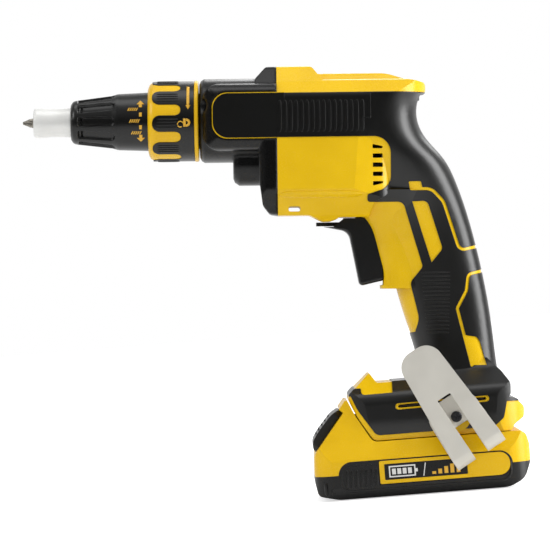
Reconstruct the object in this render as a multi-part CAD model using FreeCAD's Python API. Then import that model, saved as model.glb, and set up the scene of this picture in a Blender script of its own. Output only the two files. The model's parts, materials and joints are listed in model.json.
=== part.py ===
import FreeCAD, Part
import math
import os

from FreeCAD import Placement, Rotation, Vector

# Cordless drywall screwdriver: one STEP file per piece, all in one frame, millimetres.
# Two working frames are used. The barrel frame has its X axis along the screw axis, zero at the gear case's
# front face, and holds the drive, the housing and the handle. The base frame has its origin at the centre of
# the battery's base, Z up, and holds the foot, the battery and the hook. Every piece is saved in the base
# frame.

# Stance of the barrel over the battery base
NOSE_TILT = 3.8
BARREL_X = -101.5
BARREL_Z = 205.4

# Fits
RUN_FIT = 0.05
SLIP_FIT = 0.15
SPLIT_GAP = 0.3
MOVE_GAP = 0.4

# Gears between motor and spindle
GEAR_MODULE = 0.8
PINION_TEETH = 12
DRIVE_TEETH = 46
PRESSURE_ANGLE = 25.0
GEAR_BACKLASH = 0.16
GEAR_FRONT = 21.0
GEAR_FACE = 8.0

# Spindle and clutch
SPINDLE_R = 6.0
SPINDLE_FRONT = -24.0
SPINDLE_FLANGE_R = 11.5
SPINDLE_FLANGE_X = 12.0
SPINDLE_FLANGE_T = 4.0
DOG_HEIGHT = 2.5
DOG_COUNT = 6
CLUTCH_GAP = 0.4
CLUTCH_TRAVEL = 2.2
PILOT_R = 4.0
HEX_FLATS = 6.35
PILOT_REAR = 32.0
DOG_IN = 7.6
DOG_OUT = 11.2
CLUTCH_COIL_R = 5.4
CLUTCH_WIRE_R = 0.5
CLUTCH_SEAT = 24.0
SPINDLE_BEARING_R = 9.0
SPINDLE_BEARING_X = -15.0
SPINDLE_BEARING_L = 12.0

# Nose: bit, holder, locator, adjuster, lock ring
BIT_TIP_X = -94.3
BIT_LENGTH = 25.0
HOLDER_R = 5.2
HOLDER_FRONT = -79.0
HOLDER_BODY = 31.0
HOLDER_SHANK = 32.0
LOCATOR_R = 7.85
LOCATOR_FRONT = -88.5
LOCATOR_LENGTH = 38.0
LOCATOR_HOLE_R = 4.4
LOCATOR_BORE_R = 6.4
LOCATOR_STROKE = 4.0
ADJUSTER_FRONT = -68.6
ADJUSTER_REAR = -26.2
ADJUSTER_NOSE_R = 11.6
ADJUSTER_MID_R = 14.0
ADJUSTER_REAR_R = 15.7
ADJUSTER_STEP_X = -45.0
FLUTE_COUNT = 10
FLUTE_FIRST = 18.0
FLUTE_END = -46.3
FLUTE_R = 2.6
NOSE_TUBE_R = 9.6
NOSE_COLLAR_R = 14.6
NOSE_FLANGE_X = -25.6
NOSE_REAR = -8.0
RING_FRONT = -27.4
RING_REAR = -0.6
RING_R = 21.0
RING_FLANGE_R = 21.6
RING_FLANGE_T = 2.2
RING_BORE_R = 15.1
RING_PADS = 9
RING_PAD_HALF = 4.3
RING_PAD_FRONT = -24.9
RING_FINGER_HALF = 2.9
RING_FINGER_END = -9.9
SPIGOT_R = 12.0
SPIGOT_FRONT = -22.0
SEAT_R = 14.9
SEAT_FRONT = -7.4

MAGNET_R = 2.6
MAGNET_L = 4.0
LUG_RISE = 2.3
FLUTE_DEPTH = 0.9
NOSE_TUBE_FRONT = -62.4
CLIP_R = 10.3
CLIP_INNER_R = 9.0
CLIP_T = 1.0
PAD_DEPTH = 1.6
PAD_PROUD = 0.3
RING_FIRST_PAD = 15.0
RETAINER_R = 15.8
RETAINER_IN_R = 14.1
RETAINER_X = -4.9
RETAINER_T = 1.0

# Gear case
CASE_R = 22.3
CASE_REAR = 41.0
CASE_CAVITY_FRONT = 10.2
FLARE_FRONT = 1.8
FLARE_TOP = 18.8
FLARE_BOTTOM = -16.5
FLARE_NOSE = 9.5
FLARE_CORNER = 8.5
PINION_NOSE_R = 11.5
PINION_NOSE_FRONT = 17.5
PLATE_T = 5.0

# Motor
STATOR_R = 22.5
STATOR_FRONT = 47.0
STATOR_L = 30.0
ROTOR_R = 11.5
AIR_GAP = 0.6
TOOTH_HALF = 2.6
COIL_OVERHANG = 3.8
SHAFT_R = 2.5
SHAFT_FRONT = 20.0
SHAFT_REAR = 101.6
FRONT_BEARING_R = 8.0
REAR_BEARING_R = 6.5
REAR_BEARING_X = 97.2
REAR_BEARING_L = 4.2
GEAR_BEARING_R = 9.5
GEAR_JOURNAL_R = 5.0
FAN_R = 21.0
FAN_FRONT = 86.0
FAN_DEPTH = 9.5
FAN_BLADES = 15
BOARD_T = 1.6

# Housing envelope in the barrel frame
BODY_HALF = 30.0
BODY_TOP = 20.6
BODY_BOTTOM = -51.0
BODY_REAR = 120.2
PANEL_REAR = 100.6
SWEEP_FRONT = 78.0
SWEEP_HALF = 26.0
SWEEP_R = 100.0
BUMP_TOP = 28.2
SPINE_TOP = 24.3
TAIL_UNDER = 13.4
BAND_TOP = 13.4
BAND_BOTTOM = -9.9
BAND_FRONT = 7.3
BAND_RIM = 0.45
BAND_CORNER = 8.0
TONGUE_HALF = 29.4
TONGUE_T = 2.8
WALL = 3.2
RUBBER_DEEP = 1.2
RUBBER_PROUD = 0.4
VENT_X = 93.8
VENT_LENGTH = 5.2
VENT_HEIGHT = 2.3
VENT_TAPER = 1.2
VENT_LEVELS = (-15.2, -20.2, -25.0, -29.8, -34.8)
CHIN_SLOT = (46.6, 52.8, -49.0, -46.4)

# Handle sections: height, front, back, half width, squareness of the oval
HANDLE_SECTIONS = (
    (13.6, 60.0, 117.9, 28.4, 3.0),
    (6.0, 60.0, 115.1, 28.9, 2.7),
    (-2.5, 60.0, 115.8, 29.0, 2.5),
    (-11.0, 62.0, 120.2, 28.4, 2.4),
    (-20.0, 66.0, 128.0, 26.6, 2.4),
    (-33.0, 76.0, 135.1, 23.2, 2.4),
    (-48.0, 86.0, 140.4, 19.6, 2.5),
    (-68.0, 97.0, 145.8, 17.4, 2.5),
    (-90.0, 103.4, 150.5, 16.8, 2.5),
    (-110.0, 109.3, 153.6, 16.8, 2.5),
    (-124.0, 113.6, 155.2, 17.4, 2.5),
    (-134.0, 115.2, 156.5, 18.6, 2.5),
    (-142.0, 114.6, 158.4, 21.0, 2.5),
)

OVAL_POINTS = 20

# Yellow column behind the trigger: height, front, back, half width, squareness
COLUMN_SECTIONS = (
    (-38.0, 72.0, 124.0, 24.5, 2.8),
    (-46.0, 79.0, 124.0, 20.5, 2.9),
    (-52.0, 85.0, 125.0, 17.6, 3.1),
    (-58.0, 89.0, 126.0, 16.0, 3.3),
    (-66.0, 91.4, 128.0, 15.3, 3.4),
    (-76.0, 93.8, 130.0, 15.0, 3.4),
    (-84.0, 95.0, 132.0, 15.0, 3.4),
    (-90.4, 95.0, 132.0, 15.0, 3.4),
)

# Trigger and switch
TRIGGER_HALF = 10.0
TRIGGER_TRAVEL = 7.0
TRIGGER_TOP = -57.2
TRIGGER_BACK = 97.0
TRIGGER_CHEEK_TOP = -52.8
TRIGGER_CHEEK_IN = 7.2
TRIGGER_ROUND = 1.6
SWITCH_FRONT = 108.2
SWITCH_LENGTH = 20.0
SWITCH_HALF = 11.0
SWITCH_TOP = -56.0
SWITCH_BOTTOM = -84.0
STEM_R = 2.6
STEM_Z = -70.0
STEM_LENGTH = 16.0
LEVER_PIVOT_X = 84.0
LEVER_TIP_X = 61.2
LEVER_BLADE_TOP = -54.8
LEVER_HUB_TOP = -52.6
LEVER_PIN_R = 2.0
LEAD_X = 133.5

# Control module in the lower handle
MODULE_X = 131.0
MODULE_Z = -107.5
MODULE_LEAN = 11.0
MODULE_SIZE = (24.0, 20.0, 32.0)

# Foot and battery in the base frame
FOOT_BOTTOM = 29.6
FOOT_HALF = 34.0
FOOT_DECK = 59.6
SLIDE_GAP = 0.4
RAIL_HALF = 24.0
RAIL_NECK = 20.0
RAIL_LOW = 35.2
RAIL_TOP = 42.6
RAIL_FRONT = -34.0
RAIL_REAR = 43.0
PACK_HALF = 38.2
PACK_FRONT = -55.6
PACK_REAR = 58.5
PACK_DECK = 29.2
PACK_SPLIT = 13.0
PACK_WALL = 2.4
PANEL_TOP = 19.8
PANEL_FRONT = -43.0
PANEL_BACK = 48.5
LABEL_T = 0.8
CELL_R = 9.1
CELL_LENGTH = 64.8
CELL_COUNT = 5
CELL_PITCH = 18.6
CELL_FLOOR = 3.0
CELL_SHIFT = 1.4
BOARD_TOP = 23.9
PACK_SCREWS = ((-49.4, -25.5), (-49.4, 25.5), (52.4, -23.0), (52.4, 23.0))
PACK_SCREW_SEAT = 8.0
CONTACT_COUNT = 4
CONTACT_PITCH = 7.5
BLADE_T = 0.8

# Release button on the pack's sloping front
BUTTON_LOW = (-54.2, 25.4)
BUTTON_HIGH = (-37.95, 45.4)
BUTTON_HALF = 23.0
BUTTON_TRAVEL = 3.0
SPRING_LENGTH = 7.0
BUTTON_PROUD = 5.0
BUTTON_FIRST = 0.6
BUTTON_LAST = 25.3
BUTTON_WELL = 16.0
FLANGE_RISE = 1.2
BUTTON_GROOVES = 5

# Belt hook on the left side of the foot
HOOK_SCREW_X = 20.7
HOOK_SCREW_Z = 39.3
HOOK_LEAN = 29.2
HOOK_SEAT = 38.9
HOOK_STEEL = 2.0
HOOK_GAP = 9.0
HOOK_HALF_LOW = 14.7
HOOK_HALF_TOP = 10.8
HOOK_TOP = 41.5
HOOK_BOTTOM = -24.0
HOOK_LEAF_TOP = 11.0
HOOK_SLOT_HALF = 3.9
HOOK_SLOT_TOP = 12.7
HOOK_SCREW_R = 2.0
HOOK_HEAD_R = 2.9
HOOK_HOLE_END = 27.0

# Housing screws in the barrel frame (x, z); the last two are on the foot, in the base frame
SCREW_SHANK_R = 1.5
SCREW_HEAD_R = 3.0
SCREW_BOSS_R = 4.2
SCREW_SEAT = 8.0
SCREW_BITE = 9.0
UPPER_SCREWS = ((106.0, 9.5), (60.0, 13.5), (121.0, -44.0), (111.6, -92.6), (147.0, -128.5))
FOOT_SCREWS = ((-14.0, 51.5), (38.0, 51.5))
CASE_SCREWS = ((22.6, 7.5, 30.0), (20.5, -42.0, 37.0))
CASE_SCREW_R = 1.9
CASE_SCREW_HEAD_R = 3.3
CASE_SCREW_BITE = 13.0

MOTOR_Z = -GEAR_MODULE * (PINION_TEETH + DRIVE_TEETH) / 2.0
PLATE_FRONT = CASE_REAR - PLATE_T
FAR = 400.0


def corner_points(before, corner, after, radius):
    """Tangent points and middle of the arc that rounds one corner of an outline."""
    u = (before - corner).normalize()
    v = (after - corner).normalize()
    half = u.getAngle(v) / 2.0
    reach = radius / math.tan(half)
    middle = (u + v).normalize() * (radius / math.sin(half) - radius)
    return corner + u * reach, corner + middle, corner + v * reach


def lift(a, b, plane):
    """A point of an outline in space: plane xz, xy or yz."""
    return {"xz": Vector(a, 0, b), "xy": Vector(a, b, 0), "yz": Vector(0, a, b)}[plane]


def rounded_wire(points, plane, closed=True):
    """Outline through corners (a, b, radius): straight runs joined by tangent arcs."""
    corners = [lift(p[0], p[1], plane) for p in points]
    count = len(corners)
    stops = []
    arcs = []
    for i, corner in enumerate(corners):
        radius = points[i][2] if len(points[i]) > 2 else 0.0
        inner = closed or 0 < i < count - 1
        if radius > 0 and inner:
            start, middle, end = corner_points(corners[i - 1], corner, corners[(i + 1) % count], radius)
            stops.append((start, end))
            arcs.append(Part.Arc(start, middle, end).toShape())
        else:
            stops.append((corner, corner))
            arcs.append(None)
    edges = []
    for i in range(count):
        if arcs[i] is not None:
            edges.append(arcs[i])
        if i == count - 1 and not closed:
            break
        start = stops[i][1]
        end = stops[(i + 1) % count][0]
        if start.distanceToPoint(end) > 1e-6:
            edges.append(Part.makeLine(start, end))
    return Part.Wire(edges)


NORMAL = {"xz": Vector(0, 1, 0), "xy": Vector(0, 0, 1), "yz": Vector(1, 0, 0)}


def prism(points, plane, low, high, inset=0.0):
    """Outline, moved inward by inset, drawn out from low to high across its plane."""
    wire = rounded_wire(points, plane)
    if inset:
        wire = wire.makeOffset2D(-inset)
    face = Part.Face(wire)
    face.translate(NORMAL[plane] * low)
    return face.extrude(NORMAL[plane] * (high - low))


def stroke(points, plane, width, low, high):
    """A line of the given width along an open path, drawn out from low to high."""
    wire = rounded_wire(points, plane, False).makeOffset2D(width / 2.0)
    face = Part.Face(wire)
    face.translate(NORMAL[plane] * low)
    return face.extrude(NORMAL[plane] * (high - low))


def mirrored_outline(half):
    """Closed outline from its half with positive first coordinate, top to bottom."""
    return list(half) + [(-p[0],) + tuple(p[1:]) for p in reversed(half)]


def box(x0, x1, y0, y1, z0, z1):
    return Part.makeBox(x1 - x0, y1 - y0, z1 - z0, Vector(x0, y0, z0))


def rod(radius, x0, x1, z=0.0, y=0.0):
    """Cylinder along X."""
    return Part.makeCylinder(radius, x1 - x0, Vector(x0, y, z), Vector(1, 0, 0))


def rod_y(radius, y0, y1, x, z):
    """Cylinder along Y."""
    return Part.makeCylinder(radius, y1 - y0, Vector(x, y0, z), Vector(0, 1, 0))


def tube(outer, inner, x0, x1, z=0.0):
    return rod(outer, x0, x1, z).cut(rod(inner, x0 - 1, x1 + 1, z))


def turned(profile, z=0.0):
    """Solid turned about X from (x, radius) points; the profile is closed on the axis."""
    points = [Vector(x, 0, r + z) for x, r in profile]
    points = [Vector(profile[0][0], 0, z)] + points + [Vector(profile[-1][0], 0, z)]
    clean = [points[0]]
    for p in points[1:]:
        if p.distanceToPoint(clean[-1]) > 1e-6:
            clean.append(p)
    face = Part.Face(Part.makePolygon(clean + [clean[0]]))
    return face.revolve(Vector(0, 0, z), Vector(1, 0, 0), 360)


def hexagon(flats, x0, x1):
    corner = flats / math.sqrt(3.0)
    points = [Vector(x0, corner * math.cos(math.radians(60 * i)), corner * math.sin(math.radians(60 * i)))
              for i in range(7)]
    return Part.Face(Part.makePolygon(points)).extrude(Vector(x1 - x0, 0, 0))


def union(shapes):
    first = shapes[0]
    return first.fuse(list(shapes[1:])) if len(shapes) > 1 else first


def turned_copies(shape, count, z=0.0, first=0.0):
    """Copies of a shape spread around an axis along X."""
    copies = []
    for i in range(count):
        copy = shape.copy()
        copy.rotate(Vector(0, 0, z), Vector(1, 0, 0), first + 360.0 * i / count)
        copies.append(copy)
    return copies


def bearing(outer, inner, x0, x1, z=0.0):
    """Ball bearing: two rings with shield grooves, closed by shields."""
    groove = (outer - inner) * 0.26
    ring = tube(outer, inner, x0, x1, z)
    mid_out = (outer + inner) / 2.0 + groove / 2.0
    mid_in = (outer + inner) / 2.0 - groove / 2.0
    depth = 0.4
    for a, b in ((x0, x0 + depth), (x1 - depth, x1)):
        ring = ring.cut(tube(mid_out, mid_in, a, b, z))
    return ring


def coil(mean_r, wire_r, x0, x1, turns, z=0.0):
    """Compression spring along X: quarter turns of arc, swept by a round wire."""
    steps = int(turns * 4)
    length = x1 - x0 - 2 * wire_r
    start_x = x0 + wire_r

    def spot(t):
        a = t * math.pi / 2.0
        return Vector(start_x + length * t / steps, mean_r * math.cos(a), z + mean_r * math.sin(a))

    edges = [Part.Arc(spot(i), spot(i + 0.5), spot(i + 1)).toShape() for i in range(steps)]
    path = Part.Wire(edges)
    tangent = edges[0].tangentAt(edges[0].FirstParameter)
    section = Part.Wire(Part.makeCircle(wire_r, spot(0), tangent))
    return path.makePipeShell([section], True, False)


def lead(points, radius):
    """Insulated wire along a rounded path in a plane of constant Y: corners (x, z, bend)."""
    path = rounded_wire(points, "xz", False)
    first = path.Edges[0]
    section = Part.Wire(Part.makeCircle(radius, first.valueAt(first.FirstParameter),
                                        first.tangentAt(first.FirstParameter)))
    return path.makePipeShell([section], True, False)


def barrel(shape):
    """Move a shape from the barrel frame to the base frame."""
    moved = shape.copy()
    place = Placement(Vector(BARREL_X, 0, BARREL_Z), Rotation(Vector(0, 1, 0), NOSE_TILT))
    moved.Placement = place.multiply(moved.Placement)
    return moved


def mirror_y(shape):
    return shape.mirror(Vector(0, 0, 0), Vector(0, 1, 0))


def gear(teeth, x0, x1, z, shift, turn):
    """Spur gear with involute flanks by formula; turn is the angle of one tooth's middle, in degrees."""
    pitch_r = GEAR_MODULE * teeth / 2.0
    alpha = math.radians(PRESSURE_ANGLE)
    base_r = pitch_r * math.cos(alpha)
    tip_r = pitch_r + GEAR_MODULE * (0.9 + shift)
    root_r = pitch_r - GEAR_MODULE * (1.2 - shift)
    thick = GEAR_MODULE * (math.pi / 2.0 + 2.0 * shift * math.tan(alpha)) - GEAR_BACKLASH / 2.0
    half = thick / (2.0 * pitch_r) + math.tan(alpha) - alpha
    start_r = max(base_r, root_r)
    radii = [start_r + (tip_r - start_r) * k / 3.0 for k in range(4)]

    def flank(r):
        pressure = math.acos(min(1.0, base_r / r))
        return half - (math.tan(pressure) - pressure)

    def spot(r, angle):
        return Vector(x0, r * math.sin(angle), z + r * math.cos(angle))

    edges = []
    step = 2.0 * math.pi / teeth
    for i in range(teeth):
        middle = math.radians(turn) + i * step
        right = [spot(r, middle - flank(r)) for r in radii]
        left = [spot(r, middle + flank(r)) for r in reversed(radii)]
        foot_in = spot(root_r, middle - flank(start_r))
        foot_out = spot(root_r, middle + flank(start_r))
        next_in = spot(root_r, middle + step - flank(start_r))
        if foot_in.distanceToPoint(right[0]) > 1e-6:
            edges.append(Part.makeLine(foot_in, right[0]))
        rise = Part.BSplineCurve()
        rise.interpolate(right)
        edges.append(rise.toShape())
        edges.append(Part.Arc(right[-1], spot(tip_r, middle), left[0]).toShape())
        fall = Part.BSplineCurve()
        fall.interpolate(left)
        edges.append(fall.toShape())
        if foot_out.distanceToPoint(left[-1]) > 1e-6:
            edges.append(Part.makeLine(left[-1], foot_out))
        edges.append(Part.Arc(foot_out, spot(root_r, middle + step / 2.0), next_in).toShape())
    return Part.Face(Part.Wire(edges)).extrude(Vector(x1 - x0, 0, 0))


def oval(section, inset):
    """Closed smooth oval at one height, shrunk by inset."""
    z, front, back, half, power = section
    a = (back - front) / 2.0 - inset
    b = half - inset
    centre = (back + front) / 2.0
    points = []
    for i in range(OVAL_POINTS):
        angle = 2.0 * math.pi * i / OVAL_POINTS
        c = math.cos(angle)
        s = math.sin(angle)
        x = math.copysign(abs(c) ** (2.0 / power), c)
        y = math.copysign(abs(s) ** (2.0 / power), s)
        points.append(Vector(centre + a * x, b * y, z))
    curve = Part.BSplineCurve()
    curve.interpolate(Points=points, PeriodicFlag=True)
    return Part.Wire(curve.toShape())


def lofted(sections, inset):
    return Part.makeLoft([oval(s, inset) for s in sections], True, False)


def three_views(side, plan, section, inset):
    """Solid whose side, plan and cross section are the given outlines, all moved inward by inset."""
    a = prism(side, "xz", -FAR, FAR, inset)
    b = prism(plan, "xy", -FAR, FAR, inset)
    c = prism(section, "yz", -FAR, FAR, inset)
    return a.common(b).common(c)


BODY_SECTION = mirrored_outline((
    (19.0, BODY_TOP, 6.0), (BODY_HALF - 0.7, 13.2, 4.0), (BODY_HALF, -38.5, 5.0), (19.0, BODY_BOTTOM, 7.0)))


def body(inset):
    """Motor housing with its tail, from the gear case joint back; inset 0 is the outer skin."""
    front = CASE_REAR - inset
    wide = BODY_HALF + 1.0
    shoulder = [(front, BODY_TOP), (110.0, BODY_TOP, 15.0), (BODY_REAR, 18.4, 2.6),
                (BODY_REAR, TAIL_UNDER, 1.4), (90.0, TAIL_UNDER), (90.0, 0.0), (front, 0.0)]
    trunk = [(front, 16.0), (PANEL_REAR, 16.0), (PANEL_REAR, -39.4, 8.0), (92.0, -44.0, 4.0), (89.0, -52.2),
             (73.5, -52.2, 1.0), (70.0, -54.4, 1.5), (64.5, -54.4, 3.0), (57.5, BODY_BOTTOM, 3.0),
             (front, BODY_BOTTOM)]
    shoulder_plan = [(front, -wide), (BODY_REAR, -wide, 28.0), (BODY_REAR, wide, 28.0), (front, wide)]
    upper = three_views(shoulder, shoulder_plan, BODY_SECTION, inset)
    lower_section = mirrored_outline((
        (19.0, BODY_TOP, 6.0), (BODY_HALF - 0.7, 13.2, 4.0), (BODY_HALF, -38.5, 5.0), (19.0, -51.4, 7.0),
        (15.0, -54.6, 2.0)))
    trunk_plan = [(front, -wide), (SWEEP_FRONT, -wide, SWEEP_R), (PANEL_REAR, -SWEEP_HALF, 9.0),
                  (PANEL_REAR, SWEEP_HALF, 9.0), (SWEEP_FRONT, wide, SWEEP_R), (front, wide)]
    lower = three_views(trunk, trunk_plan, lower_section, inset)
    bump_side = [(front, BUMP_TOP), (59.4, BUMP_TOP, 3.5), (66.5, 19.0), (66.5, 10.0), (front, 10.0)]
    bump_section = mirrored_outline(((11.0, BUMP_TOP, 5.0), (20.5, 19.0), (20.5, 10.0)))
    bump_plan = [(front, -24.0), (67.0, -24.0, 9.0), (67.0, 24.0, 9.0), (front, 24.0)]
    bump = three_views(bump_side, bump_plan, bump_section, inset)
    spine_side = [
        (50.0, SPINE_TOP), (99.0, SPINE_TOP - 0.2, 25.0), (117.5, 18.0), (117.5, 10.0), (50.0, 10.0)]
    spine_section = mirrored_outline(((8.5, SPINE_TOP, 4.0), (14.5, 17.0), (14.5, 10.0)))
    spine_plan = [(50.0, -16.0), (116.5, -16.0, 13.0), (116.5, 16.0, 13.0), (50.0, 16.0)]
    spine = three_views(spine_side, spine_plan, spine_section, inset)
    return union([upper, lower, bump, spine])


FOOT_SECTION = mirrored_outline((
    (14.0, 80.0), (14.0, 66.0, 14.0), (FOOT_HALF - 0.6, 52.5, 9.0),
    (FOOT_HALF, 38.0, 30.0), (FOOT_HALF - 1.2, FOOT_BOTTOM)))
FOOT_SIDE = [
    (-34.8, 52.2, 0.8), (-33.6, 54.9, 2.0), (-22.6, 65.1, 0.8), (-19.0, FOOT_DECK, 2.0),
    (7.0, FOOT_DECK), (9.0, 68.0), (40.0, 68.0), (46.6, 60.8, 8.0), (50.6, 54.5, 5.0), (50.3, 48.8, 2.0),
    (48.6, 46.9, 0.8), (53.5, 45.8, 3.0), (57.9, 41.0, 3.0), (57.2, 36.0, 2.4), (51.6, 32.6, 0.8),
    (49.6, FOOT_BOTTOM, 1.0), (-22.9, FOOT_BOTTOM, 4.0), (-31.2, 43.4, 30.0)]
FOOT_PLAN = [(-36.0, -FOOT_HALF - 0.5, 15.0), (58.2, -FOOT_HALF - 0.5, 21.0), (58.2, FOOT_HALF + 0.5, 21.0),
             (-36.0, FOOT_HALF + 0.5, 15.0)]


def band_outline(rim):
    """The side band's outline in front of the handle, grown by rim."""
    return [(BAND_FRONT - rim, BAND_TOP + rim, BAND_CORNER),
            (60.0, BAND_TOP + rim), (60.0, BAND_BOTTOM - rim),
            (BAND_FRONT - rim, BAND_BOTTOM - rim, BAND_CORNER)]


def tongue(inset):
    """Forward tongue of the left housing that carries the band over the gear case."""
    outline = band_outline(BAND_RIM)
    reach = box(-FAR, CASE_REAR + 4.0, -FAR, 0, -FAR, FAR)
    return prism(outline, "xz", -(TONGUE_HALF - inset), -(TONGUE_HALF - TONGUE_T)).common(reach)


LEFT = box(-FAR, FAR, -FAR, 0, -FAR, FAR)


def envelope(inset):
    """Left half of the whole housing skin in the base frame, moved inward by inset."""
    foot = three_views(FOOT_SIDE, FOOT_PLAN, FOOT_SECTION, inset)
    pieces = [barrel(body(inset)), barrel(lofted(HANDLE_SECTIONS, inset)),
              barrel(lofted(COLUMN_SECTIONS, inset)), foot]
    pieces = [p.common(LEFT) for p in pieces]
    if inset < WALL / 2:
        pieces.append(barrel(tongue(inset)))
    return union(pieces)


def grip_region():
    """Everything, seen from the side, that the rubber covers: band, neck, handle and foot sides."""
    tool = [(BAND_FRONT, BAND_TOP, BAND_CORNER), (125.0, BAND_TOP), (190.0, -20.0), (190.0, -150.0),
            (100.0, -150.0), (100.0, -117.0), (113.0, -113.4), (115.2, -106.5, 10.0), (110.6, -87.2, 4.0),
            (117.3, -79.0, 2.5), (107.2, -44.5, 4.0), (88.2, -44.5, 1.4), (88.2, -40.6, 1.4),
            (PANEL_REAR + 0.2, -36.5, 8.0), (PANEL_REAR + 0.2, BAND_BOTTOM, 9.0),
            (BAND_FRONT, BAND_BOTTOM, BAND_CORNER)]
    foot = [(-40.0, 53.8), (-33.4, 53.8, 0.6), (-30.5, 46.5, 20.0), (-21.4, 32.4, 4.0), (40.6, 32.4, 2.0),
            (46.0, 36.6, 4.0), (49.0, 48.0), (70.0, 52.0), (70.0, 80.0), (4.0, 80.0), (4.0, 54.2, 2.0),
            (-27.6, 54.0, 1.6), (-27.8, 57.5, 0.5), (-40.0, 57.5)]
    slot = [(-10.5, 45.0, 1.6), (39.0, 45.6, 1.6), (39.0, 49.0, 1.6), (-10.5, 48.4, 1.6)]
    line_a = [(114.0, -37.8), (122.2, -37.8, 7.0), (128.6, -44.6, 9.0), (136.9, -70.6, 3.6), (158.0, -66.0)]
    tab = [(110.0, -33.8, 0.8), (116.6, -33.8, 0.8), (117.8, -38.6), (110.8, -38.6, 0.8)]
    window = [(111.9, -44.4), (119.9, -44.0, 3.5), (127.9, -69.6, 3.0), (121.9, -76.8)]
    line_c = [
        (158.0, -79.6), (141.4, -83.2, 3.0), (140.2, -92.0, 2.0), (135.2, -101.2, 2.0), (142.6, -131.4)]
    lozenge = [(138.6, -115.2), (145.4, -116.4, 2.5), (147.2, -119.4, 2.0), (150.4, -131.4), (142.4, -131.4)]
    region = barrel(prism(tool, "xz", -FAR, 0)).fuse(prism(foot, "xz", -FAR, 0))
    accents = [barrel(stroke(line_a, "xz", 1.7, -FAR, 0)), barrel(prism(tab, "xz", -FAR, 0)),
               barrel(prism(window, "xz", -FAR, 0)), barrel(stroke(line_c, "xz", 1.7, -FAR, 0)),
               barrel(prism(lozenge, "xz", -FAR, 0)), prism(slot, "xz", -FAR, 0)]
    return region.cut(union(accents))


def save(node, shape):
    shape.exportStep("parts/" + node + ".step")
    print(node, len(shape.Solids), shape.isValid(), round(shape.Volume, 1))


os.makedirs("parts", exist_ok=True)


# Nose

def driver_bit():
    rear = BIT_TIP_X + BIT_LENGTH
    tip = turned(((BIT_TIP_X, 0.7), (BIT_TIP_X + 0.7, 1.1), (BIT_TIP_X + 3.7, 2.5), (BIT_TIP_X + 6.0, 2.75),
                  (BIT_TIP_X + 9.0, 3.0), (BIT_TIP_X + 10.0, 3.1)))
    flute = rod(1.25, BIT_TIP_X - 1.0, BIT_TIP_X + 4.6).fuse(
        Part.makeSphere(1.25, Vector(BIT_TIP_X + 4.6, 0, 0)))
    flute.translate(Vector(0, 0, 2.0))
    flute.rotate(Vector(BIT_TIP_X, 0, 0), Vector(0, 1, 0), -8.0)
    tip = tip.cut(turned_copies(flute, 4))
    return tip.fuse(hexagon(HEX_FLATS, BIT_TIP_X + 9.8, rear)).removeSplitter()


def bit_holder():
    back = HOLDER_FRONT + HOLDER_BODY
    sleeve = turned(((HOLDER_FRONT, HOLDER_R - 0.6), (HOLDER_FRONT + 0.8, HOLDER_R), (back - 2.0, HOLDER_R),
                     (back, HOLDER_R - 1.4)))
    shank = hexagon(HEX_FLATS, back - 0.5, back + HOLDER_SHANK)
    socket = hexagon(HEX_FLATS + 2 * RUN_FIT, HOLDER_FRONT - 1.0, BIT_TIP_X + BIT_LENGTH + 0.1)
    seat = rod(MAGNET_R, BIT_TIP_X + BIT_LENGTH, BIT_TIP_X + BIT_LENGTH + MAGNET_L)
    return sleeve.fuse(shank).cut(socket).cut(seat)


def locator_lugs(grow):
    """Two keys on the locator that run in the nose body's slots."""
    rear = LOCATOR_FRONT + LOCATOR_LENGTH
    top = LOCATOR_R + LUG_RISE + grow
    low = box(rear - 4.0 - grow, rear + grow, -1.8 - grow, 1.8 + grow, -top, -LOCATOR_BORE_R - 0.2)
    high = box(rear - 4.0 - grow, rear + grow, -1.8 - grow, 1.8 + grow, LOCATOR_BORE_R + 0.2, top)
    return [low, high]


def depth_locator():
    rear = LOCATOR_FRONT + LOCATOR_LENGTH
    skin = turned(((LOCATOR_FRONT, LOCATOR_R - 1.1), (LOCATOR_FRONT + 0.5, LOCATOR_R - 0.4),
                   (LOCATOR_FRONT + 1.6, LOCATOR_R), (LOCATOR_FRONT + 5.0, LOCATOR_R),
                   (LOCATOR_FRONT + 9.0, LOCATOR_R - 0.3), (LOCATOR_FRONT + 16.0, LOCATOR_R - 0.3),
                   (LOCATOR_FRONT + 19.0, LOCATOR_R), (rear, LOCATOR_R)))
    bore = turned(((LOCATOR_FRONT - 1.0, LOCATOR_HOLE_R), (LOCATOR_FRONT + 3.0, LOCATOR_HOLE_R),
                   (LOCATOR_FRONT + 5.0, LOCATOR_BORE_R), (rear + 1.0, LOCATOR_BORE_R)))
    return skin.fuse(locator_lugs(0.0)).cut(bore)


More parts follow.
